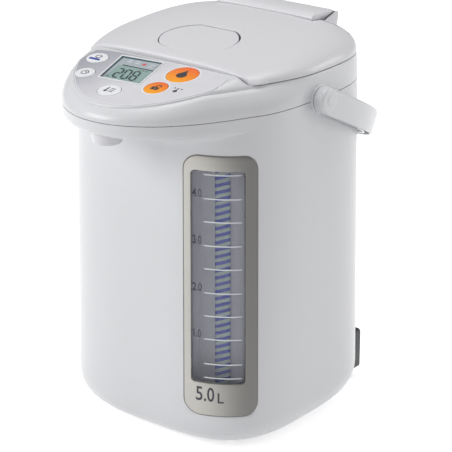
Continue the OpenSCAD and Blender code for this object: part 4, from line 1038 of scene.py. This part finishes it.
class POT_OT_screen(bpy.types.Operator):
    """Display: raised pale frame, shaded step, upper field, green cell and its figures"""
    bl_idname = "pot.screen"
    bl_label = "Display screen"

    def execute(self, context):
        plate("screen_frame", "screen_grey", "print_white", ("panel_lens",), screen_quad(0.0), PANEL_TOP + 0.22, 0.03,
              0.2, [screen_quad(-1.3)], on_panel, 6.0)
        plate("screen_plate", "screen_grey", "screen_upper", (), screen_quad(-1.25), SCREEN_FLOOR, 0.05, 0.0, (),
              on_panel, 6.0)
        # the step's shade is wider at the left and the rear, where the recess hides it from the light
        plate("screen_step", "screen_grey", "screen_shade", (), screen_quad(-1.28), 0.95, 0.4, 0.0,
              [screen_quad(-2.0) + [0.75, -0.7]], on_panel, 6.0)
        flat_print("screen_cell_field", [eased(CELL, [0.6] * 4)], "screen_cell", "screen_green", SCREEN_FLOOR)
        figures = []
        for cx, lit in ((-22.6, "abged"), (-14.4, "abcdef"), (-6.2, "abcdefg")):
            figures += digit(cx, 0.2 + (cx + 14) * 0.06, 14.6, lit)
        figures.append(bar(-29.0, 13.0, 3.0, 13.9, 1.3, 3))
        figures += [bar(-28.6 + k * 3.2, 10.6, -27.0 + k * 3.2, 10.6, 0.8, 3) for k in (6, 7, 8)]
        figures.append(bar(-28.4, -8.0, -26.8, -8.0, 1.2, 3))
        flat_print("screen_figures", figures, "screen_ink", "screen_green", SCREEN_FLOOR + edge_size("print_height"))
        strokes = ((-30, 19.6, -25.6, 19.6), (-22, 19.9, -17.6, 19.9), (-30, 22.6, -26.2, 22.6),
                   (-22, 22.9, -18.2, 22.9), (-7, 22.4, -2.4, 22.6), (-7, 18.6, -3.0, 18.8))
        flat_print("screen_marks", [bar(*s, 0.7, 3) for s in strokes], "backplate_grey", "screen_grey", SCREEN_FLOOR)
        flat_print("screen_light", [ellipse(-12.6, 20.6, 1.7, 1.7, 16)], "print_red", "screen_grey", SCREEN_FLOOR)
        return {"FINISHED"}


# Each key's solid, slot and finish, and its symbols about the key's middle
KEY_LOOKS = {"dispense": ("dispense_key", "key_orange", "key_orange_large"),
             "unlock": ("unlock_key", "key_orange", "key_orange_small"), "reboil": ("reboil_key", "key_pale", None),
             "timer": ("timer_key", "key_pale", None), "temperature": ("temp_key", "key_pale", None)}
SIGNS = (
    ("dispense", "sign", "print_dark", [drop_shape(0, -1.2, 4.6)]),
    ("unlock", "sign", "print_dark", [(corner_box(-3.4, -3.9, 3.4, 0.9, 0.7), [ellipse(0, -1.4, 0.75, 0.75, 14)]),
                                      arc_band(1.3, 2.0, 2.2, 0.95, -12, 200, 22),
                                      bar(-0.85, 0.95, -0.85, 1.9, 0.9, 3)]),
    ("reboil", "sign", "print_dark", [arc_band(0, 2.0, 2.5, 0.85, 60, 350, 26),
                                      np.array([(3.9, 2), (2.4, 3.9), (0.9, 2.2)])]),
    ("reboil", "bar", "print_blue", [corner_box(-6.2, -4.3, 5.0, -1.5, 0.4)]),
    ("timer", "sign", "print_dark", [(ellipse(0, 0, 3.5, 3.5, 40), [ellipse(0, 0, 2.8, 2.8, 36)]),
                                     bar(0, 0, 0, 2.0, 0.6), bar(0.5, 0, 1.7, 0, 0.6)]),
    ("temperature", "sign", "print_dark", [ellipse(-2.6, -1.9, 1.5, 1.5, 24), bar(-2.6, 0.1, -2.6, 3.4, 1.3)]
     + [bar(0.6, y, 4.4, y, 0.8) for y in (2.8, 0.4, -2.0)]),
)


class POT_OT_keys(bpy.types.Operator):
    """Five keys, each with a domed cap and a plain symbol, and a pale rim on the panel round the two orange keys"""
    bl_idname = "pot.keys"
    bl_label = "Keys"

    def execute(self, context):
        ink = edge_size("print_height")
        for name, (cx, cy, rx, ry) in KEYS.items():
            node, slot, look = KEY_LOOKS[name]

            def top(p, cx=cx, cy=cy, rx=rx, ry=ry):
                """Cap: flat in the middle and 0.25 mm lower at its edge."""
                rho = ((p[:, 0] - cx) / rx) ** 2 + ((p[:, 1] - cy) / ry) ** 2
                return KEY_TOP - 0.25 * rho ** 2
            plate(name + "_cap", slot, look, (node,), key_loop(name, 0.0, 72), top, -1.4, 0.35, (), on_panel, 2.4, 4,
                  body=name)
            if slot == "key_orange":
                rim = (key_loop(name, 1.75, 72), [key_loop(name, 0.36, 72)])
                flat_print(name + "_rim", [rim], "print_white", "panel_silver", PANEL_TOP, ink * 2)
        for name, mark, look, shapes in SIGNS:
            slot, middle = KEY_LOOKS[name][1], KEYS[name][:2]
            flat_print(f"{name}_{mark}", shapes, look, slot, KEY_TOP - 0.01, ink * 1.5, name, middle)
        return {"FINISHED"}


# ---------------------------------------------------------------- gauge window

def window_plan(a0, a1, z0, z1, r, n=10):
    """Rounded rectangle on the wall: along it in millimetres, and height."""
    return resampled(corner_box(a1 * MM_PER_DEGREE, z0, a0 * MM_PER_DEGREE, z1, r, n), 2.4)


class POT_OT_window(bpy.types.Operator):
    """Gauge window: champagne frame with its dark line, smoked lens, white level marks, numbers and capacity figure"""
    bl_idname = "pot.window"
    bl_label = "Gauge window"

    def execute(self, context):
        outer = window_plan(*WINDOW, 12)
        plate("window_rim", "frame_silver", None, ("window_frame",), outer, *FRAME_FACES, 0.6, [window_plan(*GLASS, 3)],
              on_wall, 3.4)
        plate("window_line", "frame_silver", "frame_line", (), turned_in(outer, -0.75), 0.28, -0.4, 0.0,
              [turned_in(outer, 0.1)], on_wall, 3.0)
        plate("window_glass", "lens_grey", "window_smoke", ("window_lens",), window_plan(*LENS, 2), *LENS_FACES,
              0.0, (), on_wall, 3.6)
        skin = Skin()
        for z in GAUGE_MARKS:
            box = corner_box(MARK_SPAN[0] * MM_PER_DEGREE, z - 0.5, MARK_SPAN[1] * MM_PER_DEGREE, z + 0.5, 0.3, 3)
            slab(skin, resampled(box, 1.6), *MARK_FACES, 0.0, (), on_wall, 3.0)
        make_piece("level_marks", skin, "pot", "lens_grey", "mark_white")
        skin = Skin()
        for text, z in GAUGE_NUMBERS:
            add_lettering(skin, text, 7.2, NUMBER_ANGLE, (0, z + 4.2, -3.03), 0.62)
        make_piece("level_numbers", skin, "pot", "lens_grey", "mark_grey")
        skin = Skin()
        add_lettering(skin, "5.0", 13.0, FIGURE_ANGLE, (-3.4, 57.0, 0.83), 0.72)
        add_lettering(skin, "L", 9.2, FIGURE_ANGLE, (9.6, 54.4, 0.83), 0.95)
        make_piece("capacity_figure", skin, "pot", "frame_silver", "print_dark")
        return {"FINISHED"}


class POT_OT_gauge(bpy.types.Operator):
    """Gauge tube, the striped ribbon behind it and the grey backplate"""
    bl_idname = "pot.gauge"
    bl_label = "Gauge"

    def execute(self, context):
        low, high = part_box("gauge_tube")
        (x0, y0, z0), (x1, y1, z1) = np.array(low) / MM, np.array(high) / MM
        skin = Skin()
        revolve(skin, eased([(0.05, z0), (6.0, z0), (6.0, z1), (0.05, z1)], (0, 0.4, 0.4, 0)), 56,
                ((x0 + x1) / 2, (y0 + y1) / 2))
        make_piece("gauge_pipe", skin, "pot", "tube_clear", None, ("gauge_tube",))
        skin = Skin()
        rim = window_plan(*TRAY, 1)
        slab(skin, rim, *TRAY_FACES, 0.0, (), on_wall, 5.0)
        # side walls of the tray, from the plate out to the lens
        inner = turned_in(rim, 0.9)
        rows = [on_wall(lifted(p, h)) for p, h in ((rim, -22.5), (rim, -4.9), (inner, -4.9), (inner, -22.5))]
        skin.grid(rows, around=True, back=True)
        make_piece("gauge_back", skin, "pot", "grey_plastic", "backplate_grey", ("gauge_backplate",))
        skin = Skin()
        a0, a1, z0, z1 = RIBBON
        skin.grid(wall_point(np.linspace(a0, a1, 9), np.linspace(z0, z1, 60)[:, None], RIBBON_DEPTH))
        ribbon = make_piece("gauge_ribbon", skin, "pot", "grey_plastic", "strip_stripes", (), (0, 0, 150), 1.6).data
        co, corner = np.empty(len(ribbon.vertices) * 3), np.empty(len(ribbon.loops), int)
        ribbon.vertices.foreach_get("co", co)
        ribbon.loops.foreach_get("vertex_index", corner)
        co = co.reshape(-1, 3) / MM
        first, last = wall_point(np.array([a0, a1]), 150.0, RIBBON_DEPTH)[:, :2]
        run = last - first
        uv = pts(((co[:, :2] - first) @ run) / (run @ run), co[:, 2] / BAND_PITCH)[corner]
        ribbon.uv_layers.new(name="ribbon").data.foreach_set("uv", uv.ravel())
        return {"FINISHED"}


# ---------------------------------------------------------------- nozzle, handle, inlet

class POT_OT_nozzle(bpy.types.Operator):
    """Nozzle cup under the beak with its recessed outlet"""
    bl_idname = "pot.nozzle"
    bl_label = "Nozzle"

    def execute(self, context):
        line = np.array([(4.5, 16), (4.5, 3), (9.5, 3), (9.6, 0), (11.8, 0), (12.6, 7), (12.6, 9.4), (8, 9.4), (8, 16)])
        profile = eased(line + [0, NOZZLE_Z], (0, 0.5, 0.8, 0.5, 1.2, 1.5, 0, 0, 0), 4)
        skin = Skin()
        revolve(skin, np.concatenate([profile, profile[:1]]), 72, (0, NOZZLE_Y))
        make_piece("nozzle_cup", skin, "pot", "case_white", "lid_white", ("nozzle",))
        return {"FINISHED"}


def handle_path(n):
    """The handle's middle line: a superellipse from one pivot round to the other, in even steps."""
    t = np.linspace(0, math.pi, 4000)
    return evenly(pts(HANDLE_X * bend(np.cos(t), HANDLE_POWER), HANDLE_LEN * bend(np.sin(t), HANDLE_POWER)), n)


class POT_OT_handle(bpy.types.Operator):
    """Carry handle: a hollow moulded bow with rounded ears, and the two pivot bosses"""
    bl_idname = "pot.handle"
    bl_label = "Carry handle"

    def execute(self, context):
        h, t = ARM_H / 2, ARM_T / 2
        section = eased([(-t, -h), (-t, h), (t, h), (t, -h), (t - 2.2, -h), (t - 2.2, h - 6), (-t + 2.2, h - 6),
                         (-t + 2.2, -h)], (0.7, 2.6, 3.6, 1.0, 0.6, 1.2, 1.2, 0.6), 6)
        path = handle_path(150)
        along = unit(np.gradient(path, axis=0))
        x, y = (path[:, k, None] + side * along[:, 1 - k, None] * section[:, 0] for k, side in ((0, 1), (1, -1)))
        rows = pts(x, y, section[:, 1])
        skin = Skin()
        skin.grid(rows, around=True)
        skin.cap(rows[0])
        skin.cap(rows[-1])
        ear = eased([(0.05, 107.4), (h + 0.25, 107.4), (h + 0.25, 116.25), (0.05, 116.25)], (0, 0.8, 3.4, 0), 6)
        for side in (-1, 1):
            revolve(skin, ear * [1, side], 64, (0, 0), True)
        drop = math.radians(-HANDLE_DROP)
        c, s = math.cos(drop), math.sin(drop)
        skin.points = [p @ np.array([[1, 0, 0], [0, c, s], [0, -s, c]]) + [0, 0, PIVOT_Z] for p in skin.points]
        make_piece("handle_bow", skin, "bail", "case_white", None, ("handle",))
        skin = Skin()
        boss = eased([(0.05, 99.0), (5.0, 99.0), (5.0, 104.0), (12.0, 104.0), (12.0, 107.0), (4.0, 107.0), (4.0, 116.6),
                      (0.05, 116.6)], (0, 0, 0, 0, 0.8, 0, 0.4, 0), 4)
        for side in (-1, 1):
            revolve(skin, boss * [1, side], 64, (0, PIVOT_Z), True)
        make_piece("pivot_bosses", skin, "pot", "case_white", None, ("handle_pivots",))
        return {"FINISHED"}


class POT_OT_inlet(bpy.types.Operator):
    """Power inlet at the rear right: a rounded black socket with its recess"""
    bl_idname = "pot.inlet"
    bl_label = "Power inlet"

    def execute(self, context):
        def place(p):
            """The socket's face looks to the rear: x stays, plan y is height and height is depth to the rear."""
            return p[:, [0, 2, 1]]
        skin = Skin()
        slab(skin, corner_box(44, 8.3, 76, 46.3, 3.0), 112.5, 83.6, 1.2, [corner_box(48, 18, 72, 38, 2.0)], place, 6.0)
        slab(skin, corner_box(47, 17, 73, 39, 1.0), 104.5, 100.0, 0.0, (), place, 6.0)
        make_piece("inlet_socket", skin, "pot", "black_plastic", None, ("power_inlet",))
        return {"FINISHED"}


class POT_OT_inside(bpy.types.Operator):
    """Finishes for the pieces that keep their solid shape"""
    bl_idname = "pot.inside"
    bl_label = "Finishes of the inner pieces"

    def execute(self, context):
        swap = {"screen_grey": "screen_upper", "screen_green": "screen_cell", "key_orange": "key_orange_large",
                "lens_grey": "window_smoke"}
        slots = {s["node"]: s["material_slot"] for s in frame["record"]["subparts"]}
        for name, node in frame["nodes"].items():
            if node.type != "MESH":
                continue
            slot = slots.get(name, "grey_plastic")
            look = finish(swap.get(slot, slot))
            if not node.data.materials:
                node.data.materials.append(look)
            for k in range(len(node.data.materials)):
                node.data.materials[k] = look
        return {"FINISHED"}


# ---------------------------------------------------------------- studio

def soft_lamp(name, at, aim, size, power):
    data = bpy.data.lights.new(name, "AREA")
    data.shape = "RECTANGLE"
    data.size, data.size_y = size
    data.energy = power
    lamp = placed(name, data)
    lamp.location = at
    lamp.rotation_euler = (Vector(aim) - Vector(at)).to_track_quat("-Z", "Y").to_euler()


class POT_OT_studio(bpy.types.Operator):
    """Pale floor, soft lamps, even fill and the camera"""
    bl_idname = "pot.studio"
    bl_label = "Studio"

    def execute(self, context):
        studio, scene = context.scene.pot_studio, context.scene
        mesh = bpy.data.meshes.new("studio_floor")
        mesh.from_pydata([(-9, -9, 0), (9, -9, 0), (9, 9, 0), (-9, 9, 0)], [], [(0, 1, 2, 3)])
        mat = bpy.data.materials.new("studio_floor")
        g = Graph(mat, "Principled BSDF")
        g.set(g.end, [("Base Color", (0.93, 0.93, 0.935, 1)), ("Roughness", 0.9), ("Specular IOR Level", 0.1)])
        level = g.add("Math", [(1, 0.62)], [(0, g.seen("Is Glossy Ray"), "Value")], operation="MULTIPLY")
        glow = g.add("Emission", [("Color", (1, 1, 1, 1))], [("Strength", level, "Value")])
        both = g.add("AddShader", (), [(0, g.end, "BSDF"), (1, glow, "Emission")])
        g.set(g.nodes["Material Output"], (), [("Surface", both, "Shader")])
        mesh.materials.append(mat)
        floor = placed("studio_floor", mesh)

        world = bpy.data.worlds.new("studio_air")
        scene.world = world
        g = Graph(world, "Background")
        pick = g.add("MapRange", [("To Min", studio.fill), ("To Max", 1.0)],
                     [("Value", g.seen("Is Transmission Ray"), "Value")])
        g.set(g.end, [("Color", (1, 1, 1, 1))], [("Strength", pick, "Result")])

        soft_lamp("front_lamp", (-1.15, -1.75, 1.25), (0, 0, 0.2), (1.5, 1.2), studio.front_lamp)
        soft_lamp("side_lamp", (1.5, 1.75, 0.9), (0, 0, 0.2), (1.0, 1.2), studio.side_lamp)
        soft_lamp("top_lamp", (0.1, 0.2, 2.2), (0, 0, 0.3), (1.4, 1.4), studio.top_lamp)

        data = bpy.data.cameras.new("camera")
        data.lens, data.sensor_width = studio.lens, 36.0
        data.clip_start, data.clip_end = 0.05, 50
        scene.camera = placed("camera", data)
        # where the camera stands round the pot and how far off, its turn and pitch, and its height
        where, far, turn, pitch, height = math.radians(38.44), 1.6, math.radians(38.19), math.radians(20.74), 0.76692
        ahead = Vector((-math.sin(turn) * math.cos(pitch), math.cos(turn) * math.cos(pitch), -math.sin(pitch)))
        right = Vector((math.cos(turn), math.sin(turn), 0))
        up = right.cross(ahead)
        at = (far * math.sin(where), -far * math.cos(where), height)
        scene.camera.matrix_world = Matrix([(r, u, -f, p) for r, u, f, p in zip(right, up, ahead, at)] + [(0, 0, 0, 1)])
        scene.view_settings.view_transform = "Standard"
        return {"FINISHED"}


STEPS = (POT_OT_case, POT_OT_housing, POT_OT_lid, POT_OT_lever, POT_OT_hood, POT_OT_rear_dome, POT_OT_panel,
         POT_OT_screen, POT_OT_keys, POT_OT_window, POT_OT_gauge, POT_OT_nozzle, POT_OT_handle, POT_OT_inlet,
         POT_OT_inside, POT_OT_studio)


class POT_PT_sidebar(bpy.types.Panel):
    """Lists the pieces, sizes, colours and lights of the thermo pot"""
    bl_idname = "POT_PT_sidebar"
    bl_label = "Thermo pot"
    bl_space_type = "VIEW_3D"
    bl_region_type = "UI"
    bl_category = "Thermo pot"

    def draw(self, context):
        for title, group in (("Edges", context.scene.pot_edges), ("Colours", context.scene.pot_colours),
                             ("Studio", context.scene.pot_studio)):
            box = self.layout.box()
            box.label(text=title)
            for name in group.__annotations__:
                box.prop(group, name)
        for step in STEPS:
            self.layout.operator(step.bl_idname)


GROUPS = {"pot_edges": PotEdges, "pot_colours": PotColours, "pot_studio": PotStudio}


def register():
    for name, group in GROUPS.items():
        bpy.utils.register_class(group)
        setattr(bpy.types.Scene, name, PointerProperty(type=group))
    for step in STEPS:
        bpy.utils.register_class(step)
    bpy.utils.register_class(POT_PT_sidebar)


def unregister():
    bpy.utils.unregister_class(POT_PT_sidebar)
    for step in reversed(STEPS):
        bpy.utils.unregister_class(step)
    for name, group in GROUPS.items():
        delattr(bpy.types.Scene, name)
        bpy.utils.unregister_class(group)


def main():
    register()
    for step in STEPS:
        group, action = step.bl_idname.split(".")
        getattr(getattr(bpy.ops, group), action)()


if __name__ == "__main__":
    main()
